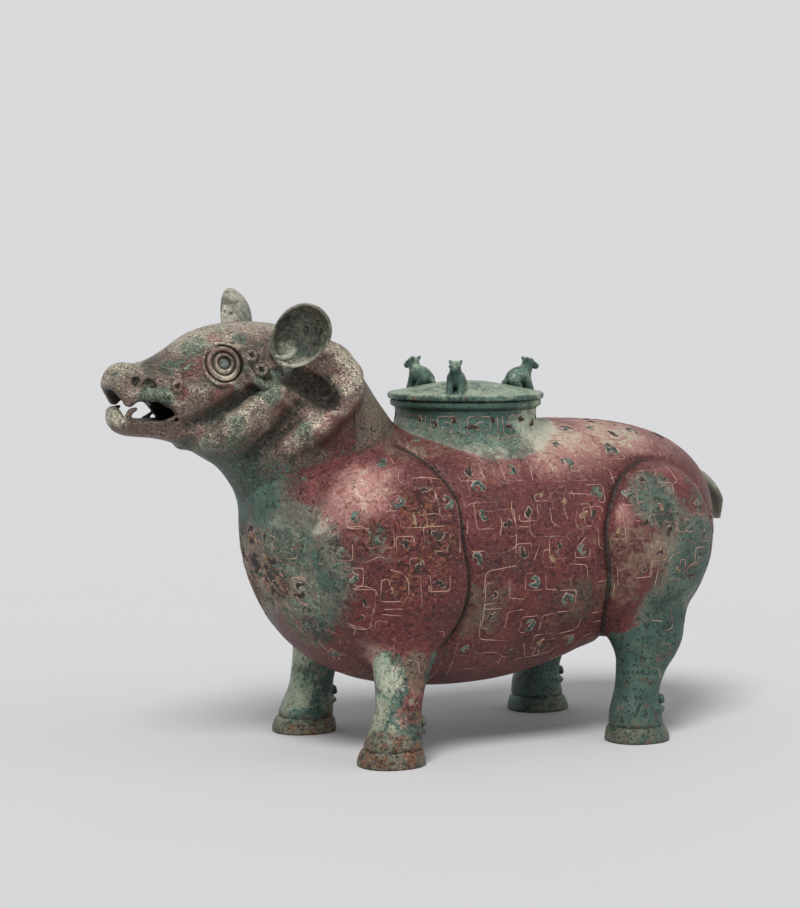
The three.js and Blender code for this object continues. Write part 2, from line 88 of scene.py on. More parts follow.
# Raised shoulders and haunches: middle, height above the barrel, the way its groove faces along the body, and
# outline as offsets from the middle
SHOULDER = (-58.0, 122.0, 6.8, 1, [
    (14, 60), (-18, 54), (-41, 30), (-43, -6), (-29, -38), (-4, -58), (28, -56), (42, -30), (40, 8),
    (35, 40)])
HAUNCH = (122.0, 120.0, 6.3, -1, [
    (4, 48), (-24, 41), (-41, 16), (-40, -20), (-32, -52), (-6, -64), (24, -54), (43, -22), (43, 14),
    (29, 38)])

# Level sections of the neck: height, front, back, half width
NECK = np.array([
    (128, -100, 10, 40), (150, -123, 4, 43), (170, -132, -12, 43), (190, -129, -28, 42),
    (208, -124, -42, 40), (224, -115, -54, 36), (236, -106, -68, 29)], float)

# Upright sections of the head: distance behind the nose tip, top, bottom, half width
HEAD = np.array([
    (0, 219, 214, 2), (1.2, 226, 205, 9), (4, 230, 196, 13), (10, 232.5, 191.5, 15.5), (19, 232, 190, 17),
    (28, 234.5, 189, 19), (39, 240.5, 186.5, 23), (52, 248.5, 181.5, 28.5), (64, 252.5, 174.5, 32.5),
    (78, 254.5, 168, 35.5), (94, 254.5, 163, 37), (110, 252, 162, 37.5), (125, 246, 165, 36),
    (138, 236, 172, 31)], float)

# Level sections of the left legs: height, offsets from the hoof's middle, half sizes along and across
FRONT_LEG = np.array([
    (0, 0, 0, 20, 18), (3, 0, 0, 19.8, 17.9), (8, 0.6, 0, 18.4, 17), (10.5, 1, 0, 17.2, 16.2),
    (14, 1.6, 0, 16.4, 15.6), (21, 3, 0, 14.8, 14.5), (28, 4.4, 0.5, 13.5, 13.4), (38, 5.8, 1.5, 13.6, 13.4),
    (50, 8, 3.5, 15.6, 14.5), (66, 12, 6.5, 20.5, 17), (84, 11, 10, 23, 18), (108, 10, 15, 24, 19)], float)
REAR_LEG = np.array([
    (0, 0, 0, 20, 18), (3, 0, 0, 19.6, 17.9), (8, -0.6, 0, 18, 16.8), (10.5, -0.8, 0, 16.8, 16),
    (15, -1.2, 0, 16, 15.2), (20, -1.4, 0, 15.2, 14.7), (25, -1, 0.5, 14, 13.7), (33, 0.8, 1, 13.6, 13.4),
    (43, 4, 2, 15.6, 13.8), (51, 7.6, 3, 19, 15), (60, 8.8, 4.5, 23.5, 16.5), (68, 8, 6.5, 27, 17.5),
    (84, 10, 10, 30, 18.5), (108, 12, 16, 32, 19)], float)
FRONT_HOOF_X = -57.7
REAR_HOOF_X = 109.5
HOOF_SPREAD = 59.5

# Collar and lid
COLLAR_TOP = 206.5
COLLAR_FOOT = 140.0
COLLAR_BORE = 38.0
LID_RADIUS = 47.3
LID_SEAT = COLLAR_TOP + 0.3
LID_RIM = LID_SEAT + 3.9
LID_CROWN = 6.5
BEAST_HEIGHT = 20.0


# Shapes as fields: a field is negative inside the bronze and grows by one for each millimetre outside it.

def smooth_curve(at, knots, values):
    """A smooth curve through values at knots, read at any place."""
    slopes = np.gradient(values, knots)
    at = np.clip(at, knots[0], knots[-1])
    i = np.clip(np.searchsorted(knots, at) - 1, 0, len(knots) - 2)
    gap = knots[i + 1] - knots[i]
    t = (at - knots[i]) / gap
    return ((1 + 2 * t) * (1 - t) ** 2 * values[i] + t * (1 - t) ** 2 * gap * slopes[i]
            + t * t * (3 - 2 * t) * values[i + 1] + t * t * (t - 1) * gap * slopes[i + 1])


def smooth_rows(rows, count):
    """Reads a smooth curve through rows of numbers at evenly spread places, as that many rows."""
    rows = np.array(rows, float)
    at = np.linspace(0, len(rows) - 1, count)
    return np.stack([smooth_curve(at, np.arange(len(rows)), column) for column in rows.T], 1)


def ease(value, low, high):
    """0 below low, 1 above high and a soft step between."""
    t = np.clip((value - low) / (high - low), 0, 1)
    return t * t * (3 - 2 * t)


def blend_union(a, b, soft):
    """Joins two fields with a fillet of about the size soft."""
    near = np.clip(soft - np.abs(a - b), 0, None) / soft
    return np.minimum(a, b) - near * near * soft / 4


def blend_cut(a, b, soft):
    """Cuts field b out of field a, with a soft edge."""
    return -blend_union(-a, b, soft)


def superellipse(a, b, power):
    """How far out a place lies in a rounded section: 0 at its middle and 1 on its outline."""
    return (np.abs(a) ** power + np.abs(b) ** power) ** (1 / power)


def measured(shape, step=0.5, floor=0.004):
    """Turns a shape's value, which is 0 on its surface, into a distance in millimetres."""
    def field(x, y, z):
        here = shape(x, y, z)
        slopes = [shape(x + step, y, z) - here, shape(x, y + step, z) - here, shape(x, y, z + step) - here]
        steepness = np.sqrt(sum(s * s for s in slopes)) / step
        return here / np.maximum(steepness, floor)
    return field


def barrel_shape(x, y, z):
    along = (x - BODY_X) / BODY_REACH
    end = np.clip(along, -1, 1)
    rise = np.where(end < 0, CHEST_RISE * end ** 6, RUMP_RISE * np.abs(end) ** 1.5)
    tuck = FLANK_TUCK * np.exp(-((x - TUCK_X) / TUCK_LENGTH) ** 2)
    up = z - BODY_Z - rise
    tall = np.where(up > 0, HALF_HEIGHT, HALF_HEIGHT - tuck)
    section = superellipse(y / HALF_WIDTH, up / tall, SECTION_POWER)
    return superellipse(section, along, END_POWER) - 1


barrel = measured(barrel_shape)


def outline_share(outline, dx, dz):
    """How far out a place lies in an outline, 0 at its middle and 1 on it, and the outline's radius there."""
    angles = np.array([math.atan2(b, a) for a, b in outline])
    radii = np.hypot(*np.array(outline, float).T)
    order = np.argsort(angles)
    angles, radii = angles[order], radii[order]
    angles = np.concatenate([angles[-2:] - 2 * math.pi, angles, angles[:2] + 2 * math.pi])
    radii = np.concatenate([radii[-2:], radii, radii[:2]])
    radius = smooth_curve(np.arctan2(dz, dx), angles, radii)
    return np.hypot(dx, dz) / radius, radius


EDGE_WIDTH = 6.0
GROOVE_DEPTH = 2.2
GROOVE_WIDTH = 2.3


def raised(part, x, y, z):
    """The height that a raised shoulder or haunch adds to the flank."""
    middle_x, middle_z, relief, groove_way, outline = part
    share, radius = outline_share(outline, x - middle_x, z - middle_z)
    inside = np.clip((1 - share) * radius, 0, None)
    edge = np.clip(inside / EDGE_WIDTH, 0, 1)
    dome = np.sqrt(np.clip(1 - share ** 2.6, 0, 1))
    height = relief * (0.45 * edge * (2 - edge) + 0.55 * dome * np.minimum(edge * 3, 1))
    outside = (share - 1) * radius
    groove = GROOVE_DEPTH * np.exp(-((outside - 0.8) / GROOVE_WIDTH) ** 2)
    groove = groove * (0.2 + 0.8 * ease((x - middle_x) * groove_way, -18, 14))
    return (height - groove) * ease(np.abs(y), 8, 26)


def body(x, y, z):
    return barrel(x, y, z) - raised(SHOULDER, x, y, z) - raised(HAUNCH, x, y, z)


def neck_shape(x, y, z):
    front, back, half = (smooth_curve(z, NECK[:, 0], NECK[:, c]) for c in (1, 2, 3))
    past = np.clip(NECK[0, 0] - z, 0, None) / 40 + np.clip(z - NECK[-1, 0], 0, None) / 12
    return superellipse((x - (front + back) / 2) / ((back - front) / 2), y / half, NECK_POWER) - 1 + past


neck = measured(neck_shape)


def head_shape(x, y, z):
    setback = x - NOSE_X
    at, knots = np.sqrt(np.clip(setback, 0, None)), np.sqrt(HEAD[:, 0])
    top, bottom, half = (smooth_curve(at, knots, HEAD[:, c]) for c in (1, 2, 3))
    past = np.clip(-setback, 0, None) / 3 + np.clip(setback - HEAD[-1, 0], 0, None) / 14
    return superellipse(y / half, (z - (top + bottom) / 2) / ((top - bottom) / 2), HEAD_POWER) - 1 + past


head = measured(head_shape)

MANE_MIDDLE = (-88.0, 201.0)
MANE_SLOPE = math.radians(47)
MANE_HALF = (38.0, 41.0)
MANE_THICKNESS = 10.0
MANE_STRETCH = 1.15


def mane(x, y, z):
    """The ring of the mane behind the jaw."""
    up = (x - MANE_MIDDLE[0]) * math.cos(MANE_SLOPE) + (z - MANE_MIDDLE[1]) * math.sin(MANE_SLOPE)
    across = (x - MANE_MIDDLE[0]) * math.sin(MANE_SLOPE) - (z - MANE_MIDDLE[1]) * math.cos(MANE_SLOPE)
    out = (np.hypot(up / MANE_HALF[0], y / MANE_HALF[1]) - 1) * sum(MANE_HALF) / 2
    return np.hypot(out, across / MANE_STRETCH) - MANE_THICKNESS / 2


def leg_shape(sections, hoof_x):
    def shape(x, y, z):
        dx, dy, along, across = (smooth_curve(z, sections[:, 0], sections[:, c]) for c in (1, 2, 3, 4))
        past = np.clip(z - sections[-1, 0], 0, None) / 20
        aside = (-np.abs(y) + HOOF_SPREAD - dy) / across
        return superellipse((x - hoof_x - dx) / along, aside, LEG_POWER) - 1 + past
    return shape


front_leg = measured(leg_shape(FRONT_LEG, FRONT_HOOF_X))
rear_leg = measured(leg_shape(REAR_LEG, REAR_HOOF_X))

COLLAR_PROFILE = np.array([
    (160, 50), (178, 50), (182, 46.8), (188, 44.2), (COLLAR_TOP - 10, 42.4), (COLLAR_TOP - 4.8, 43.0),
    (COLLAR_TOP - 4.1, 44.6), (COLLAR_TOP - 3.4, 45.7), (COLLAR_TOP - 0.6, 45.7), (COLLAR_TOP, 45.2)], float)


def collar_field(x, y, z):
    out = np.hypot(x - COLLAR_X, y)
    radius = np.interp(z, COLLAR_PROFILE[:, 0], COLLAR_PROFILE[:, 1])
    wall = np.maximum(out - radius, COLLAR_BORE - out)
    return np.maximum(np.maximum(wall * 0.92, z - COLLAR_TOP), COLLAR_FOOT - z)


def capsules(points, radii):
    """A field round a chain of straight rods whose radius changes from point to point."""
    points, radii = np.array(points, float), np.array(radii, float)

    def field(x, y, z):
        nearest = None
        for a, b, ra, rb in zip(points[:-1], points[1:], radii[:-1], radii[1:]):
            along = b - a
            t = (x - a[0]) * along[0] + (y - a[1]) * along[1] + (z - a[2]) * along[2]
            t = np.clip(t / max(along @ along, 1e-9), 0, 1)
            gap = np.sqrt((x - a[0] - t * along[0]) ** 2 + (y - a[1] - t * along[1]) ** 2
                          + (z - a[2] - t * along[2]) ** 2) - ra - t * (rb - ra)
            nearest = gap if nearest is None else np.minimum(nearest, gap)
        return nearest
    return field


def egg(middle, radii, pitch=0.0):
    """A field round an ellipsoid whose long way is pitched up by some degrees."""
    c, s = math.cos(math.radians(pitch)), math.sin(math.radians(pitch))

    def field(x, y, z):
        dx, dy, dz = x - middle[0], y - middle[1], z - middle[2]
        u, w = dx * c + dz * s, dz * c - dx * s
        size = np.sqrt((u / radii[0]) ** 2 + (dy / radii[1]) ** 2 + (w / radii[2]) ** 2)
        slope = np.sqrt((u / radii[0] ** 2) ** 2 + (dy / radii[1] ** 2) ** 2 + (w / radii[2] ** 2) ** 2)
        return size * (size - 1) / np.maximum(slope, 1e-4)
    return field


# How far from the middle a surface is looked for, over the whole body and on one side of a slimmer part
SKIN_REACH = 150
SIDE_REACH = 90
LEG_REACH = 40


def found_along(field, origins, directions, reach, steps=22):
    """The places where rays leave a solid, found by halving."""
    low, high = np.zeros(len(origins)), np.full(len(origins), float(reach))
    for _ in range(steps):
        mid = (low + high) / 2
        p = origins + directions * mid[:, None]
        inside = field(p[:, 0], p[:, 1], p[:, 2]) < 0
        low, high = np.where(inside, mid, low), np.where(inside, high, mid)
    return origins + directions * low[:, None]


def normals_of(field, points, step=0.6):
    x, y, z = points.T
    slopes = [field(x + step, y, z) - field(x - step, y, z), field(x, y + step, z) - field(x, y - step, z),
              field(x, y, z + step) - field(x, y, z - step)]
    normals = np.stack(slopes, 1)
    return normals / np.maximum(np.linalg.norm(normals, axis=1), 1e-9)[:, None]


def level_rays(spots, from_y=0.0):
    """Rays that run level to the animal's left from places given by their x and z."""
    spots = np.array(spots, float)
    origins = np.stack([spots[:, 0], np.full(len(spots), float(from_y)), spots[:, 1]], 1)
    return origins, np.tile([0.0, -1.0, 0.0], (len(spots), 1))


def on_left(field, spots, out):
    """Places on the left side of a solid, from their x and z, moved outward by some millimetres."""
    hits = found_along(field, *level_rays(spots), SIDE_REACH)
    return hits + normals_of(field, hits) * out


def corners_of(mesh, layer="co"):
    """The places of a mesh's corners, or their normals, as rows of three numbers."""
    values = np.zeros(len(mesh.vertices) * 3)
    mesh.vertices.foreach_get(layer, values)
    return values.reshape(-1, 3)


def signed_volume(mesh):
    mesh.calc_loop_triangles()
    ids = np.zeros(len(mesh.loop_triangles) * 3, np.int32)
    mesh.loop_triangles.foreach_get("vertices", ids)
    a, b, c = corners_of(mesh)[ids.reshape(-1, 3)].transpose(1, 0, 2)
    return float(np.einsum("ij,ij->i", a, np.cross(b, c)).sum())


def mesh_of(name, points, faces):
    """A smooth mesh that faces outward, from points in millimetres, placed as the forms are drawn."""
    mesh = bpy.data.meshes.new(name)
    mesh.from_pydata(((np.array(points, float) + (SHIFT, 0, 0)) * MM).tolist(), [], faces)
    if signed_volume(mesh) < 0:
        mesh.flip_normals()
    mesh.shade_smooth()
    return mesh


def linked(name, data):
    """A new object in the scene."""
    piece = bpy.data.objects.new(name, data)
    bpy.context.scene.collection.objects.link(piece)
    return piece


# How far nearly flat facets of the largest castings are merged
FLAT_MERGING = 0.005


class Block:
    """A block of space, sampled every pitch millimetres, that a solid is shaped in."""

    def __init__(self, low, high, pitch):
        self.low, self.pitch = np.array(low, float), pitch
        self.counts = [int(math.ceil((h - l) / pitch)) + 1 for l, h in zip(low, high)]
        self.axes = [l + pitch * np.arange(n) for l, n in zip(low, self.counts)]
        self.x, self.y, self.z = np.meshgrid(*self.axes, indexing="ij", sparse=True)

    def fill(self, field):
        self.values = np.array(np.broadcast_to(field(self.x, self.y, self.z), self.counts), np.float32)
        return self

    def part(self, low, high):
        """The samples inside a box, as a slice and its coordinates."""
        spans = []
        for axis, a, b in zip(self.axes, low, high):
            start, stop = np.searchsorted(axis, [a, b])
            spans.append(slice(int(start), int(max(stop, start + 1))))
        spans = tuple(spans)
        return spans, (self.x[spans[0]], self.y[:, spans[1]], self.z[:, :, spans[2]])

    def work(self, points, radii, soft, cut=False, both_sides=True):
        """Adds or cuts a chain of rods, on both flanks at once when it is drawn on the left."""
        points, margin = np.array(points, float), max(radii) + 2 * soft
        low, high = points.min(0) - margin, points.max(0) + margin
        sides = [(low, high)]
        if both_sides:
            sides.append(((low[0], -high[1], low[2]), (high[0], -low[1], high[2])))
        field = capsules(points, radii)
        for number, (a, b) in enumerate(sides):
            spans, (x, y, z) = self.part(a, b)
            rods = field(x, y if number == 0 else -y, z)
            here = self.values[spans]
            self.values[spans] = blend_cut(here, rods, soft) if cut else blend_union(here, rods, soft)

    def mesh(self, name, merging=0.0):
        """The surface of the shaped solid as a smooth mesh."""
        wide = self.pitch * 3
        self.values[[0, -1]] = self.values[:, [0, -1]] = self.values[:, :, [0, -1]] = wide
        grid = openvdb.FloatGrid(background=wide)
        grid.copyFromArray(np.clip(self.values, -wide, wide))
        points, tris, quads = grid.convertToPolygons(isovalue=0.0, adaptivity=merging)
        faces = [list(map(int, f)) for f in quads] + [list(map(int, f)) for f in tris]
        return mesh_of(name, np.array(points, float) * self.pitch + self.low, faces)


# Patina: where each kind lies, as patches with a middle, a radius and a strength, which below 0 wears it away
KINDS = ("green", "brown", "pale", "crust", "dark", "red", "scratch")
PATCHES = {
    "green": [
        (-97, -60, 110, 15, 1.1), (-100, -48, 92, 30, 0.85), (-108, -30, 120, 26, 0.75),
        (111, -72, 156, 20, 0.85), (124, -74, 146, 22, 0.8), (150, -60, 148, 18, 0.8),
        (160, -50, 118, 34, 1.05), (150, -58, 92, 26, 1.0), (172, -30, 130, 30, 0.9), (146, -62, 72, 26, 0.9),
        (80, -66, 100, 18, 0.4), (22, -50, 60, 40, 0.4), (-170, 0, 240, 26, 0.6), (-185, -18, 209, 13, 1.0),
        (-175, -18, 214, 11, 0.8), (-150, -26, 198, 14, 0.8), (-140, -20, 176, 32, 1.05),
        (-118, -20, 165, 32, 1.05), (-134, -34, 238, 9, 0.6), (-122, -36, 222, 11, 0.9),
        (-98, -44, 190, 10, 0.5), (-108, -10, 140, 40, 0.45), (175, 0, 158, 26, 0.8), (-64, -66, 12, 16, 0.7),
        (122, -68, 78, 20, 0.8), (-84, -46, 60, 18, 0.5), (-58, -60, 1, 18, -0.75), (110, -60, 1, 18, -0.4),
        (-58, -60, 24, 22, -0.5), (-190, -16, 212, 9, 1.2), (-168, -20, 232, 9, 1.1),
        (-128, -34, 216, 8, 1.2), (-161, -15, 242, 13, 1.2), (-176, -15, 230, 7, 1.4),
        (-135, -23, 246, 7, 1.3), (-136, -34, 230, 4, 1.2), (-129, -37, 222, 6, 1.4),
        (-119, -37, 223, 9, 1.4), (-143, -37, 198, 8, 1.2), (-123, -40, 214, 9, 1.3),
        (-106, -45, 194, 8, 1.3), (-188, -19, 217, 8, 1.5), (-182, -21, 213, 9, 1.5),
        (-161, -10, 183, 16, 1.3), (-132, -12, 167, 30, 1.5), (-207, -9, 203, 9, 0.8),
        (-199, -11, 228, 12, 0.7), (-113, -32, 124, 26, 1.3), (-97, -53, 107, 9, 1.6),
        (-100, -51, 120, 8, 1.6), (-98, -25, 78, 22, 0.9), (-122, -17, 152, 24, 1.4),
        (-74, -70, 134, 12, 0.9), (113, -36, 184, 20, 0.8), (110, -74, 150, 20, 1.25),
        (123, -75, 138, 12, 1.2), (125, -69, 77, 26, 1.5), (147, -68, 110, 34, 1.5), (-112, -36, 238, 9, 1.2),
        (-106, -40, 239, 9, 1.2), (-110, 0, 258, 15, 0.9), (-92, -14, 250, 14, 0.8), (-104, -40, 84, 26, 1.1),
        (-58, -60, -2, 30, -0.9), (-150, -10, 249, 20, 0.75),
    ],
    # Some dark patches are painted shade: in the nostrils, in the hollow behind the eye under the ear, and at
    # the upper end of the ear's bowl.
    "dark": [
        (-94, -62, 97, 20, 0.75), (-72, -76, 100, 12, 0.75), (-60, -80, 140, 8, 0.7), (-64, -84, 126, 7, 0.8),
        (-86, -64, 122, 9, 0.8), (-104, -44, 78, 22, 0.6), (114, -74, 160, 20, 0.7), (112, -80, 138, 10, 0.8),
        (0, -60, 56, 60, 0.4), (-194.5, -14, 222.4, 3.2, 1.4), (-187.5, -15, 222, 2.8, 1.3),
        (-136, -30, 202, 9, 0.8), (-112, -38, 200, 9, 0.7), (-92, -40, 214, 16, 0.95),
        (-104, -40, 176, 16, 0.6), (112, -72, 74, 14, 0.7), (-42, -68, 56, 16, 0.5), (126, -70, 60, 20, 0.7),
        (84, -60, 74, 22, 0.5), (30, -58, 62, 34, 0.5), (-44, -66, 82, 26, 0.5), (-76, -76, 118, 13, 0.8),
        (-110, -20, 90, 34, 0.4), (-92, -72, 196, 14, 0.4), (-94, -60, 128, 14, 0.7),
        (-113, -32, 124, 20, 0.9), (-112, -20, 104, 16, 1.0), (60, -72, 89, 26, 0.75), (-6, -72, 88, 26, 0.7),
        (121, -75, 136, 13, 1.1), (125, -69, 77, 24, 0.9), (147, -68, 110, 30, 0.7), (110, -60, -2, 30, 0.7),
        (-103, -48, 250, 11, 0.8), (-117, -41, 255, 9, 1.1), (-76, -16, 240, 14, 0.7),
        (-100, -36, 74, 20, 0.9), (-48, -68, 58, 12, 0.7),
    ],
    # Pale patches on the back, the rump and the top of the shoulder also paint top light.
    "pale": [
        (-172, -22, 216, 9, 0.9), (-148, -17, 247, 9, 0.9), (-160, -26, 222, 12, 0.8),
        (-136, -34, 212, 8, 0.8), (-82, -70, 165, 30, 1.0), (-96, -60, 150, 24, 0.9),
        (-66, -70, 172, 24, 0.7), (126, -82, 122, 22, 0.6), (90, -80, 140, 12, 0.8), (98, -76, 168, 16, 0.8),
        (62, -50, 183, 40, 0.75), (10, -58, 170, 26, 0.5), (140, -30, 180, 30, 0.5), (-150, 0, 250, 34, 0.9),
        (-120, 0, 254, 34, 0.8), (-196, 0, 229, 17, 1.0), (-206, 0, 204, 9, 1.3), (-204, -7, 200, 6, 1.3),
        (-150, -28, 222, 15, 0.9), (-142, -30, 208, 14, 0.7), (-66, -36, 226, 15, 0.9),
        (23, 0, 182, 62, 0.25), (-68, -56, 60, 20, 1.0), (-68, -56, 30, 20, 1.0), (-58, -60, 1, 18, 1.0),
        (-58, -60, 24, 22, 0.8), (60, -40, 188, 34, 1.1), (110, -30, 186, 34, 1.0), (-212, 0, 226, 16, 0.7),
        (-207, -9, 203, 9, 1.7), (-120, -36, 199, 11, 0.9), (-164, -22, 231, 9, 0.8),
        (-148, -32, 216, 8, 0.8), (-97, -50, 198, 8, 1.1), (-81, -41, 219, 9, 1.2), (112, -77, 118, 13, 0.9),
        (-63, -64, 51, 14, 1.2), (-58, -60, -2, 32, 0.6), (-112, -36, 238, 8, 1.5), (-107, -44, 230, 8, 1.3),
        (-98, -58, 251, 6, 1.1), (-113, -32, 124, 24, 0.8), (-108, -40, 96, 24, 0.7),
    ],
    "crust": [
        (-40, -82, 131, 32, 0.9), (-50, -80, 112, 30, 0.8), (-48, -84, 143, 8, 1.2), (-54, -84, 126, 7, 1.2),
        (22, -72, 108, 28, 0.35), (44, -70, 102, 22, 0.35), (-58, -60, 1, 18, 1.3), (110, -60, 2, 17, 0.7),
        (62, -62, 84, 22, 0.45), (-34, -78, 148, 14, 0.75), (-24, -78, 130, 16, 0.5),
        (-112, -20, 104, 16, 1.1), (-31, -70, 157, 14, 0.8), (-46, -71, 151, 13, 1.2),
        (-74, -70, 134, 14, 0.8), (-58, -60, -2, 32, 1.15), (-50, -70, 34, 10, 1.0),
    ],
    "brown": [
        (60, -76, 124, 22, 0.45), (-20, -40, 182, 22, 0.6), (-60, -30, 196, 30, 0.75),
        (-196, -8, 226, 14, 0.75), (-78, -30, 236, 20, 0.7), (-58, -60, 1, 18, 0.8), (92, -72, 118, 24, 0.85),
        (88, -70, 96, 20, 0.75), (40, -62, 78, 24, 0.5), (-72, -78, 128, 16, 0.8), (-104, -40, 100, 34, 0.6),
        (130, -74, 120, 24, 0.8), (138, -70, 104, 22, 0.7), (120, -76, 152, 20, 0.8),
        (-40, -34, 178, 26, 0.9), (-62, -26, 206, 26, 0.9), (-58, -60, 24, 22, 0.9), (-150, 0, 254, 16, 0.8),
        (-58, -60, 4, 17, 1.3), (-40, -70, 22, 12, 1.0), (110, -60, 4, 15, 0.8), (-84, -62, 140, 20, 0.5),
        (-51, -30, 203, 18, 1.2), (-98, -25, 78, 22, 1.0), (60, -72, 89, 24, 0.8), (-6, -72, 88, 26, 0.9),
        (115, -77, 117, 16, 1.3), (-46, -70, 51, 13, 0.9), (-58, -60, -2, 34, 1.5), (110, -60, -2, 32, 1.1),
        (-101, -54, 257, 11, 1.2), (-84, 0, 248, 24, 1.1), (-58, 0, 214, 22, 1.0), (-116, -20, 100, 30, 0.9),
        (-48, -68, 58, 12, 1.3),
    ],
    "red": [
        (-50, -76, 60, 22, 1.0), (-46, -72, 40, 15, 0.9), (-90, -50, 190, 20, 0.9), (-70, -44, 200, 18, 0.8),
        (-60, -40, 226, 16, 0.75), (-160, -24, 226, 16, 0.75), (-150, -30, 214, 14, 0.8),
        (-120, -36, 205, 12, 0.8), (118, -74, 94, 24, 1.0), (104, -74, 82, 16, 0.9), (-50, -76, 80, 24, 1.0),
        (-52, -72, 30, 14, 0.7), (-132, -12, 167, 30, -0.9), (-207, -9, 203, 9, -0.9),
        (-188, -19, 215, 12, -0.9), (-199, 0, 230, 17, -0.8), (-164, -22, 231, 9, 1.1),
        (-148, -32, 216, 8, 1.1), (-134, -34, 218, 5, 1.1), (-172, -22, 216, 8, 1.0),
        (-148, -17, 247, 8, 0.9), (-80, -42, 189, 14, 1.2), (-51, -30, 203, 18, -0.7),
        (-113, -32, 124, 26, -0.5), (-98, -52, 112, 14, -0.9), (114, -74, 148, 21, -0.8),
        (125, -69, 77, 26, -0.8), (147, -68, 110, 34, -0.8), (-63, -64, 51, 16, -0.8),
        (-46, -70, 51, 12, 0.8), (-58, -60, -2, 30, 0.5), (-130, 0, 256, 12, 0.8), (-66, 0, 228, 20, 0.8),
        (-110, -34, 112, 44, -0.85),
    ],
}


# How much pale dust and painted top light lie on what faces up
DUST_AND_TOP_LIGHT = 0.45
HEAD_DUST_AND_TOP_LIGHT = 0.28


def zones(mesh, base):
    """Writes how much of each patina lies at each corner, from the piece's own mix and the patches, with
    painted top light on what faces up and painted shade in the head's recesses.
    """
    corners = corners_of(mesh) / MM - (SHIFT, 0, 0)
    amounts = {kind: np.full(len(corners), float(base.get(kind, 0))) for kind in KINDS}
    for kind, spots in PATCHES.items():
        for x, y, z, radius, strength in spots:
            for middle in [(x, y, z), (x + 5, -y, z - 6)][:1 if y == 0 else 2]:
                near = 1 - ease(np.linalg.norm(corners - middle, axis=1) / radius, 0.35, 1.25)
                if strength < 0:
                    amounts[kind] = amounts[kind] * (1 + strength * near)
                else:
                    amounts[kind] = np.maximum(amounts[kind], strength * near)
    dust_and_top_light = HEAD_DUST_AND_TOP_LIGHT if mesh.name == "head_and_neck" else DUST_AND_TOP_LIGHT
    # What faces up grows paler: dust, and painted top light.
    amounts["pale"] = amounts["pale"] + dust_and_top_light * ease(corners_of(mesh, "normal")[:, 2], 0.25, 0.95)
    if mesh.name == "body":
        away = np.hypot(corners[:, 0] - COLLAR_X, corners[:, 1])
        skirt = (1 - ease(away, 50, 57)) * ease(corners[:, 2], 150, 165)
        amounts["green"] = np.maximum(amounts["green"], skirt)
        amounts["pale"] = np.maximum(amounts["pale"], skirt * 0.3)
        amounts["red"] = amounts["red"] * (1 - skirt)
    if mesh.name == "head_and_neck":
        low = 1 - ease(body(*corners.T), 3, 22)
        amounts["red"] = np.maximum(amounts["red"], low)
        # Recesses of the head's relief darken, as dirt and as painted shade; its raised parts pale, as wear
        # and as painted highlight.
        depth = -head_skin(*corners.T)
        amounts["dark"] = amounts["dark"] + np.clip(depth / 5, 0, 1) * 0.7
        amounts["green"] = amounts["green"] + np.clip(depth / 4, 0, 1) * 0.2
        amounts["pale"] = amounts["pale"] + np.clip(-depth / 2.5, 0, 1) * 0.4 - low * 0.3
    amounts["hollow"] = hollowness(mesh, corners)
    for kind, values in amounts.items():
        layer = mesh.attributes.get(kind) or mesh.attributes.new(kind, "FLOAT", "POINT")
        layer.data.foreach_set("value", values.astype(np.float32))


def hollowness(mesh, corners):
    """How deep each corner lies between its neighbours, so that dirt and painted shade can gather there."""
    edges = np.zeros(len(mesh.edges) * 2, np.int32)
    mesh.edges.foreach_get("vertices", edges)
    a, b = edges.reshape(-1, 2).T
    normals = corners_of(mesh, "normal")
    total, count = np.zeros(len(corners)), np.zeros(len(corners))
    run = corners[b] - corners[a]
    length = np.maximum(np.linalg.norm(run, axis=1), 1e-6)
    np.add.at(total, a, (run * normals[a]).sum(1) / length)
    np.add.at(total, b, (-run * normals[b]).sum(1) / length)
    np.add.at(count, a, 1)
    np.add.at(count, b, 1)
    depth = total / np.maximum(count, 1)
    for _ in range(3):
        near = np.zeros(len(corners))
        np.add.at(near, a, depth[b])
        np.add.at(near, b, depth[a])
        depth = 0.5 * depth + 0.5 * near / np.maximum(count, 1)
    return np.clip(depth * 6, -1, 1)


# Materials

class Value:
    """One socket of a node tree, so that maths on sockets can be written as ordinary sums."""

    def __init__(self, tree, socket):
        self.tree, self.socket = tree, socket

    def maths(self, operation, *others):
        return self.tree.node("ShaderNodeMath", self, *others, operation=operation)

    def __add__(self, other):
        return self.maths("ADD", other)

    def __radd__(self, other):
        return self.maths("ADD", other)

    def __sub__(self, other):
        return self.maths("SUBTRACT", other)

    def __rsub__(self, other):
        return self.tree.node("ShaderNodeMath", other, self, operation="SUBTRACT")

    def __mul__(self, other):
        return self.maths("MULTIPLY", other)

    def __rmul__(self, other):
        return self.maths("MULTIPLY", other)

    def clamped(self):
        return self.maths("MAXIMUM", 0.0).maths("MINIMUM", 1.0)

    def step(self, low, high):
        """0 below low, 1 above high and a soft step between."""
        return self.tree.node("ShaderNodeMapRange", self, low, high, 0.0, 1.0,
                              interpolation_type="SMOOTHSTEP", clamp=True)


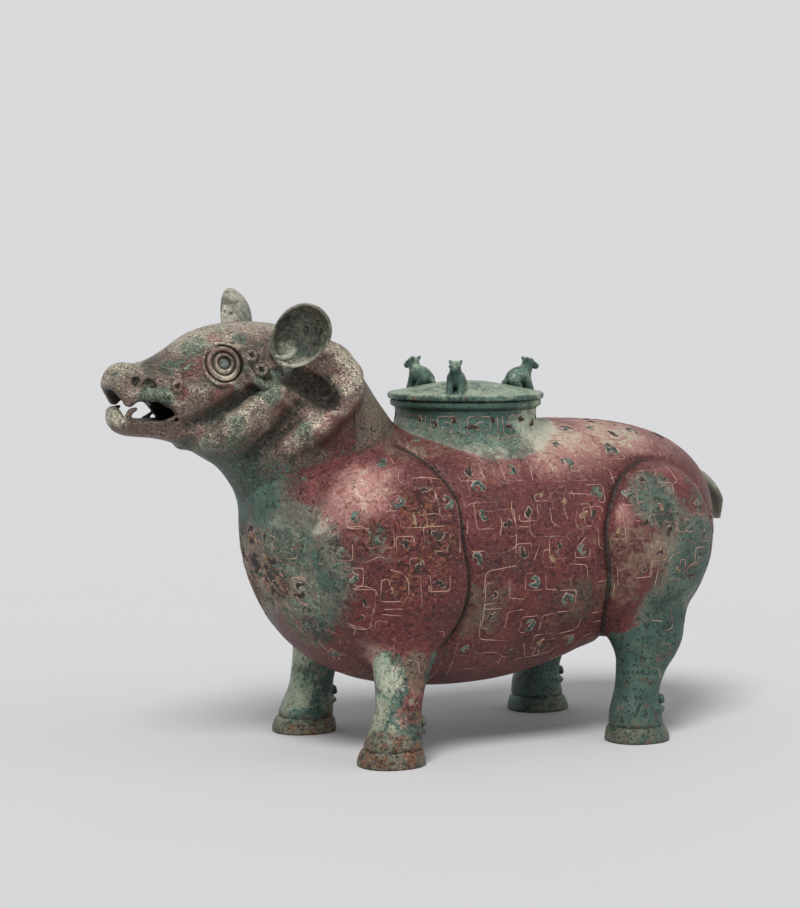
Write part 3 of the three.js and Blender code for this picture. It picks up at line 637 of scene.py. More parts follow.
class Tree:
    """A node tree that nodes are added to."""

    def __init__(self, tree):
        self.nodes, self.links = tree.nodes, tree.links
        self.nodes.clear()

    def node(self, kind, *values, output=0, **settings):
        """Adds a node. Settings come first, then its sockets take values or links, in order or by name."""
        added = self.nodes.new(kind)
        named = {key: value for key, value in settings.items() if not hasattr(added, key)}
        for key in settings.keys() - named.keys():
            setattr(added, key, settings[key])
        places = [s for s in added.inputs if s.enabled]
        names = [next(s for s in places if s.name == key.replace("_", " ")) for key in named]
        for socket, value in [*zip(places, values), *zip(names, named.values())]:
            if isinstance(value, Value):
                self.links.new(value.socket, socket)
            else:
                socket.default_value = value
        outputs = [s for s in added.outputs if s.enabled]
        picked = outputs[output] if isinstance(output, int) else next(s for s in outputs if s.name == output)
        return Value(self, picked)

    def mix(self, factor, a, b):
        """Mixes two colours."""
        return self.node("ShaderNodeMix", factor, a, b, data_type="RGBA")

    def noise(self, where, scale, detail, roughness):
        return self.node("ShaderNodeTexNoise", where, Scale=scale, Detail=detail, Roughness=roughness,
                         noise_dimensions="3D", output="Fac")

    def attribute(self, name):
        return self.node("ShaderNodeAttribute", attribute_name=name, attribute_type="GEOMETRY", output="Fac")

    def end(self, kind, value):
        """Ends the tree in its output node."""
        self.links.new(value.socket, self.nodes.new(kind).inputs[0])


class Finish(Tree):
    """The node tree of a new material."""

    def __init__(self, name):
        self.material = bpy.data.materials.new(name)
        self.material.use_nodes = True
        super().__init__(self.material.node_tree)

    def finished(self, **sockets):
        """Ends the tree in a surface with the given sockets and hands over the material."""
        self.end("ShaderNodeOutputMaterial", self.node("ShaderNodeBsdfPrincipled", **sockets))
        return self.material


def shade(text):
    """A colour written as six hex digits, as the linear colour that a shader takes."""
    parts = [int(text[i:i + 2], 16) / 255 for i in (0, 2, 4)]
    return tuple(c / 12.92 if c <= 0.04045 else ((c + 0.055) / 1.055) ** 2.4 for c in parts) + (1.0,)


# Stains that lie over every bronze, the chalk also painting top light and the dirt also painting shade: the
# colours of their darker and lighter parts
EARTH = ("4b4034", "94866c")
RUST = ("4a1d14", "9c5a3c")
CRUMBS = ("6b4630", "987c58")
DARK_CRUMB = "2f1c17"
VERDIGRIS = ("112723", "527a69")
PALE_VERDIGRIS = "a2b197"
BRIGHT_VERDIGRIS = "1f7a66"
GRIME = ("17110f", "2e3830")
CHALK_AND_TOP_LIGHT = "cdc6ae"
DIRT_AND_SHADE = "1b1712"
COMBED = ("1b1b16", "55533f")
PIT = "17110e"


def patina(name, ground, ground_light, ground_dark):
    """Old bronze: a coloured ground under red, brown, pale, green and dark patinas, pitted and crusted, with
    painted shade in its hollows and painted top light on what faces up.
    """
    tree = Finish(name)
    look = bpy.context.scene.vessel_patina
    plain_place = tree.node("ShaderNodeTexCoord", output="Object")
    stir = tree.node("ShaderNodeTexNoise", plain_place, Scale=130.0, Detail=3.0, noise_dimensions="3D",
                     output="Color")
    where = tree.node("ShaderNodeVectorMath", stir, (0.004, 0.004, 0.004), plain_place,
                      operation="MULTIPLY_ADD")
    cloud, drift, patch, grain, fine = (tree.noise(where, s, d, r) for s, d, r in (
        (24, 4, 0.6), (62, 6, 0.66), (170, 6, 0.7), (480, 4, 0.7), (1500, 2, 0.6)))
    elsewhere = tree.node("ShaderNodeVectorMath", where, (3.1, 1.7, 2.3), operation="ADD")
    other = tree.noise(elsewhere, 110, 6, 0.72)
    green, brown, pale, crust, dark, red, scratch = (tree.attribute(kind) for kind in KINDS)
    hollow = tree.attribute("hollow")

    def spread(noise, width=2.8):
        return ((noise - 0.5) * width + 0.5).clamped()

    def cover(amount, noise, soft):
        """Where a patina lies: over about the given share of the surface, in patches shaped by the noise."""
        return (amount + noise - 1.0).step(0.0, soft)

    def tint(factor, colours):
        return tree.mix(factor, *map(shade, colours))

    wide = spread(cloud * 0.35 + drift * 0.65)
    broken = spread(drift * 0.45 + patch * 0.35 + grain * 0.2)
    flecked = spread(other * 0.45 + grain * 0.35 + patch * 0.2)
    speckled = spread(grain * 0.7 + fine * 0.3)

    own = tint(wide, (ground_dark, ground))
    # The pale amount holds painted top light on what faces up, so the lighter ground, the rose, the pale
    # verdigris and the chalk below paint it too.
    own = tree.mix(cover(0.3 + pale * 0.5, broken, 0.4), own, shade(ground_light))
    copper = tint(spread(cloud * 0.35 + drift * 0.45 + patch * 0.2, 2.6).step(0.05, 0.95),
                  (look.brick, look.red))
    rubbed_and_lit = cover(0.14 + pale * 0.9, spread(cloud * 0.5 + drift * 0.3 + grain * 0.2, 2.4), 0.9)
    copper = tree.mix(rubbed_and_lit * 0.9, copper, shade(look.rose))
    copper = tree.mix((speckled - 0.52).step(0.0, 0.4) * 0.4, copper, shade(look.rose))
    colour = tree.mix(cover(red, spread(cloud * 0.2 + drift * 0.4 + grain * 0.4, 3.0), 0.35), own, copper)
    brown_here = cover(0.2 + brown * 0.65, broken, 0.45)
    colour = tree.mix(brown_here * 0.7, colour, tint(flecked, EARTH))
    rust_here = cover(0.16 + crust * 0.45, spread(tree.noise(where, 150, 6, 0.7), 3.2), 0.3)
    colour = tree.mix(rust_here * 0.7, colour, tint(speckled, RUST))
    grit, lots = (tree.node("ShaderNodeTexVoronoi", where, Scale=760.0, Randomness=1.0, feature="F1",
                            voronoi_dimensions="3D", output=output) for output in ("Distance", "Color"))
    lot, kind = (tree.node("ShaderNodeSeparateColor", lots, output=output) for output in ("Red", "Green"))
    grain_size = (lot + crust * 0.6 + (flecked - 0.5) * 0.6 - 1.02).clamped()
    crumbs = 1 - (grit - grain_size * 1.6).step(-0.04, 0.12)
    crumb_colour = tree.mix(kind.step(0.5, 0.56), shade(DARK_CRUMB), tint(kind, CRUMBS))
    colour = tree.mix(crumbs * 0.6, colour, crumb_colour)
    green_here = cover(0.12 + green * 0.6 + hollow * 0.12,
                       spread(drift * 0.2 + other * 0.35 + grain * 0.45, 3.8), 0.4)
    verdigris = tint(spread(drift * 0.3 + patch * 0.3 + grain * 0.4, 4.6), VERDIGRIS)
    verdigris = tree.mix(cover(0.16 + pale * 0.6, speckled, 0.5), verdigris, shade(PALE_VERDIGRIS))
    verdigris = tree.mix(cover(0.16, flecked, 0.15) * 0.8, verdigris, shade(BRIGHT_VERDIGRIS))
    colour = tree.mix(green_here * 0.85, colour, verdigris)
    dark_here = cover(0.17 + dark * 0.62,
                      spread(drift * 0.2 + other * 0.3 + patch * 0.2 + grain * 0.3, 4.0), 0.4)
    colour = tree.mix(dark_here * 0.8, colour, tint(speckled, GRIME))
    # Chalky deposit that, through the pale amount, also paints top light.
    chalk_and_top_light = cover(0.06 + pale * 0.46, spread(grain * 0.35 + other * 0.35 + cloud * 0.3, 3.4), 0.5)
    colour = tree.mix(chalk_and_top_light * 0.68, colour, shade(CHALK_AND_TOP_LIGHT))
    # Hollows darken: dirt, and painted shade.
    dirt_and_shade = (hollow * 1.2 + speckled * 0.35 - 0.3).step(0.05, 0.5)
    colour = tree.mix(dirt_and_shade * 0.85, colour, shade(DIRT_AND_SHADE))

    curls = tree.node("ShaderNodeTexWave", where, Scale=230.0, Distortion=16.0, Detail=2.0, Detail_Scale=1.3,
                      Detail_Roughness=0.6, wave_type="BANDS", bands_direction="DIAGONAL", output="Fac")
    combed = curls.step(0.62, 0.9) * cover(scratch, flecked, 0.3)
    colour = tree.mix(combed * 0.85, colour, tint(speckled, COMBED))
    pits = cover(0.12 + crust * 0.28 + dark * 0.14 - pale * 0.1,
                 spread(tree.noise(where, 420, 4, 0.6), 3.4), 0.2)
    colour = tree.mix(pits * 0.65, colour, shade(PIT))

    height = (fine * 0.15 + grain * 0.55 + patch * 0.5 + rust_here * 0.3 + crumbs * 0.15 + green_here * 0.2
              - pits * 0.75 - combed * 0.8 - dark_here * 0.45)
    bump = tree.node("ShaderNodeBump", Strength=0.85, Distance=0.0013, Height=height, output="Normal")
    dull = (green_here * 0.45 + rust_here * 0.35 + crumbs * 0.2 + brown_here * 0.2
            + dark_here * 0.1).clamped()
    return tree.finished(Base_Color=colour, Roughness=(dull * 0.3 + speckled * 0.14 + 0.36).clamped(),
                         Metallic=((1 - dull) * 0.3).clamped(), Normal=bump)


def plain(name, colour, dark, rough, variation, scale):
    """A simple finish whose colour and roughness drift a little over the surface."""
    tree = Finish(name)
    where = tree.node("ShaderNodeTexCoord", output="Object")
    drift = tree.noise(where, scale, 5, 0.6)
    fine = tree.noise(where, scale * 4, 3, 0.6)
    tone = tree.mix(drift.step(0.4, 0.6) * variation, shade(colour), shade(dark))
    bump = tree.node("ShaderNodeBump", Strength=0.3, Distance=0.0005, Height=drift * 0.6 + fine * 0.4,
                     output="Normal")
    return tree.finished(Base_Color=tone, Roughness=(drift * 0.25 + rough).clamped(), Normal=bump)


# The bronzes' grounds, by the names of their colours in the panel
BRONZES = {
    "red_bronze": ("grey", "bone", "umber"), "brown_bronze": ("grey", "bone", "umber"),
    "head_bronze": ("blush", "shell", "moss"), "green_bronze": ("green", "pale_green", "teal"),
}
# Colour, darker colour, roughness, how far the colour drifts and how finely
PLAIN_FINISHES = {
    "pupil_stone": ("6c746f", "343d39", 0.5, 0.8, 420),
    "casting_clay": ("6b5648", "31251d", 0.9, 0.4, 200),
    "inlay_line": ("b3917f", "653a35", 0.55, 0.9, 110),
    "inlay_green": ("5d6f62", "1b2522", 0.6, 0.95, 260),
    "inlay_ochre": ("97785a", "50301f", 0.65, 0.9, 240),
    "inlay_edge": ("ae9484", "43302a", 0.6, 0.95, 200),
    "inlay_seat": ("1c1815", "43332a", 0.7, 0.6, 240),
}
MATERIALS = {}


def finish_of(name):
    """The named finish, made when it is first asked for."""
    if name not in MATERIALS:
        look = bpy.context.scene.vessel_patina
        MATERIALS[name] = (patina(name, *(getattr(look, key) for key in BRONZES[name])) if name in BRONZES
                           else plain(name, *PLAIN_FINISHES[name]))
    return MATERIALS[name]


# Making pieces

def place(name, mesh, finish, base, bodyname, *replaced, slot=None):
    """Puts a finished mesh in the scene: its patina, the body it rides on and the nodes it stands for."""
    piece = linked(name, mesh)
    if base is not None:
        zones(mesh, base)
    mesh.materials.clear()
    mesh.materials.append(finish_of(finish))
    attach(piece, bodyname)
    if replaced:
        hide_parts(*replaced)
    return piece


def lofted(name, rings, start=None, end=None):
    """A closed skin over rings of points, which ends in two poles."""
    rings = [np.array(r, float) for r in rings]
    around, last = len(rings[0]), (len(rings) - 1) * len(rings[0])
    poles = [rings[0].mean(0) if start is None else start, rings[-1].mean(0) if end is None else end]
    points = np.concatenate([*rings, poles])
    faces = []
    for here in range(0, last, around):
        there = here + around
        for i in range(around):
            j = (i + 1) % around
            faces.append((here + i, there + i, there + j, here + j))
    for i in range(around):
        j = (i + 1) % around
        faces += [(len(points) - 2, j, i), (len(points) - 1, last + i, last + j)]
    return mesh_of(name, points, faces)


def ring_points(middle, along, across, half_a, half_b, count):
    """Points round an oval."""
    turn = 2 * math.pi * np.arange(count) / count
    return (np.array(middle)[None] + np.outer(np.cos(turn) * half_a, along)
            + np.outer(np.sin(turn) * half_b, across))


def rounded_profile(profile, times=2):
    """Softens the corners of an open profile by cutting them, keeping its two ends."""
    profile = np.array(profile, float)
    for _ in range(times):
        a, b = profile[:-1], profile[1:]
        middle = np.stack([0.82 * a + 0.18 * b, 0.18 * a + 0.82 * b], 1).reshape(-1, 2)
        profile = np.concatenate([profile[:1], middle, profile[-1:]])
    return profile


def axes_facing(axis):
    """Three directions square to one another, the last of them along an axis."""
    spin = Vector((0, 0, 1)).rotation_difference(Vector(axis))
    return [np.array(spin @ Vector(v)) for v in ((1, 0, 0), (0, 1, 0), (0, 0, 1))]


def turned(name, profile, middle, axis, count):
    """A solid of revolution from a profile of radius and height that starts and ends on the axis."""
    along, across, up = axes_facing(axis)
    middle = np.array(middle, float)
    rings = [ring_points(middle + up * h, along, across, r, r, count) for r, h in profile[1:-1]]
    return lofted(name, rings, start=middle + up * profile[0][1], end=middle + up * profile[-1][1])


def joined_meshes(name, meshes):
    """One mesh out of several."""
    whole = bmesh.new()
    for mesh in meshes:
        whole.from_mesh(mesh)
        bpy.data.meshes.remove(mesh)
    out = bpy.data.meshes.new(name)
    whole.to_mesh(out)
    whole.free()
    out.shade_smooth()
    return out


def mirrored(mesh, name):
    """The same mesh on the animal's other side."""
    out = mesh.copy()
    out.name = name
    out.vertices.foreach_set("co", (corners_of(out) * (1, -1, 1)).ravel())
    out.flip_normals()
    return out


# Body

WALL = 4.0


def legs_near(x, y, z):
    return np.minimum(front_leg(x, y, z), rear_leg(x, y, z))


def flared(x, y, z):
    """The body's skin, which rises in a fillet to the neck, the legs and the collar."""
    skin = body(x, y, z)
    for other, size in ((neck, 9.0), (legs_near, 7.0), (collar_field, 6.0)):
        near = blend_union(skin, other(x, y, z), size)
        skin = np.maximum(near, skin - size)
    return skin


def body_solid(x, y, z):
    """The hollow body, open where the collar stands."""
    shell = np.maximum(flared(x, y, z), -(barrel(x, y, z) + WALL))
    bore = np.maximum(np.hypot(x - COLLAR_X, y) - COLLAR_BORE, BODY_Z + 7 - z)
    return np.maximum(shell, -bore)


# Head

HEAD_SOFT = 12.0
MANE_SOFT = 7.0
HEAD_WALL = 4.2


def head_skin(x, y, z):
    return blend_union(blend_union(head(x, y, z), neck(x, y, z), HEAD_SOFT), mane(x, y, z), MANE_SOFT)


# Relief of the head's left side: added or cut, softness, height above the skin, then x, z and radius along it
HEAD_RELIEF = [
    ("cut", 3.5, 1.8, [(-166, 197, 4.5), (-150, 203, 7.2), (-136, 210, 8.2), (-124, 218, 5.5)]),
    ("add", 4, -2.2, [(-160, 184, 4.5), (-150, 189, 7.5), (-137, 199, 8.5), (-124, 210, 7.5),
                      (-115, 219, 5)]),
    ("cut", 3, 0.8, [(-131, 178, 4), (-122, 186, 6), (-113, 197, 6), (-106, 207, 5)]),
    ("add", 3, -2.0, [(-112, 183, 5.5), (-103, 190, 7.5), (-93, 196, 7.5), (-85, 203, 5)]),
    ("cut", 3.5, 0.2, [(-116, 225, 5), (-106, 223, 7.8), (-97, 219, 8.8), (-88, 212, 7.5), (-80, 206, 4)]),
    ("add", 5, -3.0, [(-104, 244, 6), (-90, 242, 8), (-77, 235, 9), (-70, 226, 8), (-70, 214, 6),
                      (-78, 205, 5)]),
    ("add", 1.2, -0.5, [(-140, 246, 1.4), (-136.5, 239, 2.2), (-136, 230, 2.5), (-132, 222.5, 2.6),
                      (-125, 218.6, 2.6), (-118.6, 221, 2.3), (-119.6, 226.4, 1.6)]),
    ("add", 2.5, -1.6, [(-196, 214, 3.4), (-186, 215, 4), (-178, 213, 3.8), (-173, 207, 2.8)]),
    ("cut", 0.5, -0.6, [(-193.4, 224.2, 1.1), (-195.4, 223.4, 1.5), (-196.2, 221.4, 1.3),
                        (-195.4, 219.8, 0.7)]),
    ("cut", 0.5, -0.4, [(-190.6, 221.2, 0.9), (-188, 222.4, 1.2), (-185.6, 221.6, 1.4), (-184.6, 219.6, 1.3),
                        (-187, 218.2, 0.9)]),
    ("add", 0.7, 0.1, [(-192.6, 223.4, 0.8), (-192.4, 221.2, 1.1), (-193.9, 220.4, 0.9)]),
]
# Raised rings on the head's side: x, z, radius and thickness
HEAD_RINGS = [(-131.5, 236, 2.7, 1.1), (-127, 228, 2.8, 1.1), (-90.5, 198, 3.2, 1.1), (-173, 219, 2.4, 0.7)]
LIP_RISE = 6.0
JAW_EDGE = 199.6
# The open mouth's upper edge: distance behind the nose tip and height
GAPE_TOP = np.array([
    (-6, 221), (0, 219), (3, 216.5), (6, 212.5), (9, 208.3), (11, 208), (14, 210.3), (20, 210.4), (29, 209.6),
    (34, 205.8), (38, 200)], float)
EYE_AXIS = np.array(Vector((-0.05, -0.95, 0.3)).normalized())
EYE_RADIUS = 10.8


def eye_middle():
    low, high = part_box("eye_left")
    return np.array((low + high) / 2) / MM - (SHIFT, 0, 0) - EYE_AXIS * 0.25


def tilted_ring(middle, axis, radius, count=20):
    """Points round a ring that faces along an axis."""
    along, across, _ = axes_facing(axis)
    points = ring_points(middle, along, across, radius, radius, count)
    return np.concatenate([points, points[:1]])


def carved_head(pitch):
    """The head and neck in one block: relief, rings, eye seats, mouth, hollow, chin and lower lip."""
    block = Block((NOSE_X - 4, -54, 118), (6, 54, 262), pitch).fill(head_skin)
    for kind, soft, out, spots in HEAD_RELIEF:
        path = on_left(head_skin, [(x, z) for x, z, _ in spots], out)
        block.work(path, [r for _, _, r in spots], soft, cut=kind == "cut")
    for x, z, radius, thick in HEAD_RINGS:
        middle = on_left(head_skin, [(x, z)], 0.5)[0]
        facing = normals_of(head_skin, middle[None])[0]
        path = tilted_ring(middle, facing, radius)
        block.work(path, [thick] * len(path), 0.6)
        block.work([middle, middle + facing * 0.1], [radius * 0.4] * 2, 0.5, cut=True)
    eye = eye_middle()
    rim = tilted_ring(eye - EYE_AXIS * 0.3, EYE_AXIS, EYE_RADIUS + 1.1, 32)
    block.work(rim, [1.3] * len(rim), 1.4)

    x, y, z = block.x, block.y, block.z
    side = -np.abs(y)
    along = (x - eye[0]) * EYE_AXIS[0] + (side - eye[1]) * EYE_AXIS[1] + (z - eye[2]) * EYE_AXIS[2]
    away = np.sqrt(np.maximum((x - eye[0]) ** 2 + (side - eye[1]) ** 2 + (z - eye[2]) ** 2 - along ** 2, 0))
    seat = np.maximum(away - EYE_RADIUS - 0.35, -1.9 - along)
    block.values = np.maximum(block.values, -seat)

    setback = x - NOSE_X
    lip_rise = LIP_RISE * (1 - ease(np.abs(y), 1.0, 9.0)) * (1 - ease(setback, 3, 9))
    gape_top = smooth_curve(setback, GAPE_TOP[:, 0], GAPE_TOP[:, 1])
    gape = np.maximum(np.maximum(z - gape_top, JAW_EDGE + lip_rise - z) * 0.9, setback - GAPE_TOP[-1, 0])
    palate = (superellipse(y / 9.5, (z - 210) / 8.5, 2.0) - 1) * 9
    palate = np.maximum(palate, np.maximum(setback - 60, 3.4 - setback))
    inner = np.maximum(head(x, y, z) + HEAD_WALL, 34 - setback)
    hollow = blend_union(blend_union(inner, neck(x, y, z) + HEAD_WALL, 6), palate, 2)
    hollow = np.maximum(hollow, block.values + 1.8)
    for opening, soft in ((gape, 1.6), (hollow, 0.8)):
        block.values = blend_cut(block.values, opening, soft)
    chin = np.maximum(x - NOSE_X - 2.3, z - 209)
    block.values = blend_cut(block.values, chin, 1.5)
    lip = capsules([(-203.9, 0, 205.2), (-203.5, -3.8, 204.4), (-202.7, -7.2, 202), (-201.6, -9.8, 199.4),
                    (-199, -11.8, 198.2)], [2.9, 2.9, 2.7, 2.5, 2.0])
    block.values = blend_union(block.values, lip(x, side, z), 1.2)
    block.work([(-200.4, -11.8, 197.8), (-199.8, -12.8, 202), (-198.2, -13.4, 205.4), (-195.2, -13.4, 206.6)],
               [2.2, 1.9, 1.7, 1.2], 0.8)
    block.work([(-198.6, -12.8, 201), (-193.2, -13, 200.6)], [1.1, 0.9], 0.8)
    block.work([(-179, -17.5, 199.5), (-175, -18.5, 200.8), (-172.5, -19, 202.6)], [0.9, 1.2, 0.8], 0.8)
    return block


# What a user may change, and the operators that make the pieces

def length_property(name, description, millimetres, least=0.0):
    return bpy.props.FloatProperty(
        name=name, description=description, default=millimetres * MM, min=least, unit="LENGTH")


def colour_property(name, description, value):
    return bpy.props.StringProperty(name=name, description=description, default=value, maxlen=6)


class VesselSizes(bpy.types.PropertyGroup):
    """How finely each casting is modelled, and the lid beasts' size."""
    body_grain: length_property("Body grain", "Size of the body's facets", 1.5, 0.001)
    head_grain: length_property("Head grain", "Size of the head's facets", 0.85, 0.0005)
    leg_grain: length_property("Leg grain", "Size of the legs' facets", 0.95, 0.0005)
    collar_grain: length_property("Collar grain", "Size of the collar's facets", 0.8, 0.0005)
    beast_height: length_property("Beast height", "Height of the lid's beasts above its rim", BEAST_HEIGHT)
    beast_ring: length_property("Beast ring", "Radius of the ring that the beasts stand on", 35.5)


class VesselPatina(bpy.types.PropertyGroup):
    """The colours of the old bronze, as six hex digits."""
    red: colour_property("Red", "Copper-red ground of the body", "70312f")
    rose: colour_property("Rose", "Rubbed rose highlights of the body", "ac7d74")
    brick: colour_property("Brick", "Darker brick of the body", "41171a")
    green: colour_property("Green", "Grey-green ground of legs, collar and lid", "4e695c")
    pale_green: colour_property("Pale green", "Chalky green of the same castings", "99aa92")
    teal: colour_property("Teal", "Deep teal of the same castings", "1f3d37")
    grey: colour_property("Grey", "Grey-brown ground of ears and tail", "87877a")
    bone: colour_property("Bone", "Bone-coloured rubbed places of ears and tail", "b3ad9c")
    umber: colour_property("Umber", "Umber recesses of ears and tail", "4b473c")
    blush: colour_property("Blush", "Pink-grey ground of the head", "a67f78")
    shell: colour_property("Shell", "Rubbed pale places of the head", "c4baa5")
    moss: colour_property("Moss", "Darker grey-green of the head", "454b3e")


class VesselInlay(bpy.types.PropertyGroup):
    """Sizes of the inlaid lines and cells."""
    line_width: length_property("Line width", "Width of an inlaid line", 0.5)
    line_height: length_property("Line height", "How far a line stands out of the skin", 0.16)
    line_step: length_property("Line step", "Distance between the bends of a line", 1.3, 0.0001)


class VesselStage(bpy.types.PropertyGroup):
    """Floor, lamps and camera."""
    key_power: bpy.props.FloatProperty(
        name="Key power", description="Strength of the key lamp", default=2.5, min=0)
    fill_power: bpy.props.FloatProperty(
        name="Fill power", description="Strength of the fill lamp", default=0.45, min=0)
    sky: bpy.props.FloatProperty(
        name="Sky", description="Strength of the even light", default=0.4, min=0)
    lens: bpy.props.FloatProperty(
        name="Lens", description="Focal length in millimetres", default=98.3, min=1)


class VESSEL_OT_body(bpy.types.Operator):
    """Casts the hollow body with its raised shoulders and haunches"""
    bl_idname = "vessel.body"
    bl_label = "Body shell"

    def execute(self, context):
        pitch = context.scene.vessel_sizes.body_grain / MM
        block = Block((-126, -88, 26), (196, 88, 200), pitch).fill(body_solid)
        place("body", block.mesh("body", FLAT_MERGING), "red_bronze",
              {"red": 1.05, "green": 0.14, "pale": 0.14, "dark": 0.22, "crust": 0.16, "scratch": 0.1},
              "vessel", "body_shell")
        return {"FINISHED"}


# How deep neck, legs and collar sink into the body's skin, and the radius kept clear for the collar
NECK_SINK = 2.2
LEG_SINK = 2.4
COLLAR_SINK = 2.0
COLLAR_CLEAR = 51.5


class VESSEL_OT_head(bpy.types.Operator):
    """Casts the head and neck with the open mouth"""
    bl_idname = "vessel.head"
    bl_label = "Head and neck"

    def execute(self, context):
        block = carved_head(context.scene.vessel_sizes.head_grain / MM)
        x, y, z = block.x, block.y, block.z
        block.values = np.maximum(block.values, -(body(x, y, z) + NECK_SINK))
        block.values = np.maximum(block.values, COLLAR_CLEAR - np.hypot(x - COLLAR_X, y))
        place("head_and_neck", block.mesh("head_and_neck", FLAT_MERGING), "head_bronze",
              {"red": 0.5, "green": 0.42, "pale": 0.36, "brown": 0.24, "dark": 0.42, "scratch": 0.98},
              "vessel", "neck_and_head", slot="red_bronze")
        return {"FINISHED"}


EAR_ROOT = (-113.8, -31.0, 233.0)
EAR_LENGTH = 45.0
EAR_WIDTH = 31.0
EAR_DEPTH = 8.0
EAR_CURL = [
    (-16, 10.5), (-19.4, 7), (-20, 1.6), (-16.5, -2.2), (-11.3, -2.8), (-8.9, 0.1), (-10.4, 2.6), (-12.8, 2),
    (-12.6, 0.4)]
RIGHT_EAR_LIFT = 5.0


def ear_mesh(name, lift):
    """A leaf-shaped cup with a rolled rim and a curl at its root, on a stem that swells into the head."""
    along = np.array(Vector((0.31, -0.65 + lift * 0.02, 0.69 + lift * 0.02)).normalized())
    open_way = np.array((-0.45 - 0.03 * lift, -0.85, 0.0))
    open_way /= np.linalg.norm(open_way)
    open_way = open_way - along * (open_way @ along)
    open_way /= np.linalg.norm(open_way)
    across = np.cross(open_way, along)
    root = np.array(EAR_ROOT)
    middle = root + along * (EAR_LENGTH / 2 + lift * 0.9) + open_way * 5

    def leaf(share, depth, count=64):
        turn = 2 * math.pi * np.arange(count) / count
        long, wide = share * EAR_LENGTH / 2, share * EAR_WIDTH / 2
        taper = 1 + 0.13 * np.cos(turn)
        return (middle[None] - open_way[None] * depth + np.outer(np.cos(turn) * long, along)
                + np.outer(np.sin(turn) * wide * taper, across))

    outer = [(0.02, 1.32), (0.2, 1.31), (0.4, 1.24), (0.6, 1.06), (0.76, 0.82), (0.88, 0.55), (0.955, 0.32)]
    rim = [(0.985, 0.17), (1.0, 0.06), (0.998, -0.03), (0.98, -0.08), (0.93, -0.08), (0.91, -0.02)]
    inner = [(0.895, 0.12), (0.87, 0.24), (0.81, 0.4), (0.72, 0.58), (0.58, 0.78), (0.4, 0.92), (0.2, 0.99),
             (0.02, 1.0)]
    rings = [leaf(s, d * EAR_DEPTH) for s, d in outer + rim + inner]
    cup = lofted(name, rings)
    stem_top = middle - open_way * (EAR_DEPTH + 2.4) - along * EAR_LENGTH * 0.14
    inward = root - along * 8 - open_way * 3
    stem_rings = []
    for t in np.linspace(0, 1, 9):
        at = inward * (1 - t) + stem_top * t
        stem_rings.append(ring_points(at, across, open_way, 8 * (1.3 - 0.62 * t), 8 * (0.95 - 0.62 * t), 32))
    stem = lofted(name + "_stem", stem_rings)
    curl = []
    for a, b in smooth_rows(EAR_CURL, 44):
        share = min(math.hypot(a / (EAR_LENGTH / 2), b / (EAR_WIDTH / 2)), 1.0)
        curl.append(middle + along * a + across * b - open_way * (EAR_DEPTH * (1 - share ** 3) - 0.5))
    rings = []
    for i, spot in enumerate(curl):
        way = curl[min(i + 1, len(curl) - 1)] - curl[max(i - 1, 0)]
        way /= np.linalg.norm(way)
        side = np.cross(way, open_way)
        side /= np.linalg.norm(side)
        thick = 0.9 + 0.9 * math.sin(math.pi * (i + 0.5) / len(curl))
        rings.append(ring_points(spot, side, np.cross(way, side), thick, thick, 12))
    return joined_meshes(name, [cup, stem, lofted(name + "_curl", rings)])


class VESSEL_OT_ears(bpy.types.Operator):
    """Casts both ears; the right one stands a little higher"""
    bl_idname = "vessel.ears"
    bl_label = "Ears"

    def execute(self, context):
        mix = {"brown": 0.3, "pale": 0.6, "green": 0.75, "red": 0.4, "dark": 0.5, "scratch": 0.5}
        place("left_ear", ear_mesh("left_ear", 0.0), "brown_bronze", mix, "vessel", "ear_left")
        right = mirrored(ear_mesh("right_ear", RIGHT_EAR_LIFT), "right_ear")
        place("right_ear", right, "brown_bronze", mix, "vessel", "ear_right")
        return {"FINISHED"}


class VESSEL_OT_eyes(bpy.types.Operator):
    """Turns the ringed eyes and their stone pupils"""
    bl_idname = "vessel.eyes"
    bl_label = "Eyes"

    def execute(self, context):
        eye = eye_middle()
        ring = rounded_profile([
            (0, -1.8), (10.2, -1.8), (10.2, 0.1), (9.8, 1.1), (9.0, 1.5), (8.0, 1.5), (7.4, 1.0), (7.2, -0.3),
            (6.2, -0.3), (5.9, 1.3), (5.4, 2.1), (4.7, 2.3), (4.1, 1.9), (3.9, 0.0), (0, 0.0)])
        stone = rounded_profile([
            (0, 0.1), (2.7, 0.1), (2.7, 0.7), (2.4, 1.1), (1.8, 1.2), (1.2, 0.95), (0, 0.9)])
        left = turned("left_eye", ring, eye, EYE_AXIS, 72)
        left_stone = turned("left_pupil", stone, eye, EYE_AXIS, 48)
        mix = {"pale": 0.3, "green": 0.45, "brown": 0.35, "red": 0.5, "dark": 0.35}
        right, right_stone = mirrored(left, "right_eye"), mirrored(left_stone, "right_pupil")
        place("right_eye", right, "head_bronze", mix, "vessel", "eye_right", slot="red_bronze")
        place("left_eye", left, "head_bronze", mix, "vessel", "eye_left", slot="red_bronze")
        place("right_pupil", right_stone, "pupil_stone", None, "vessel", "pupil_right")
        place("left_pupil", left_stone, "pupil_stone", None, "vessel", "pupil_left")
        return {"FINISHED"}


LEG_WALL = 3.6
HOOF_THICKNESS = 7.0


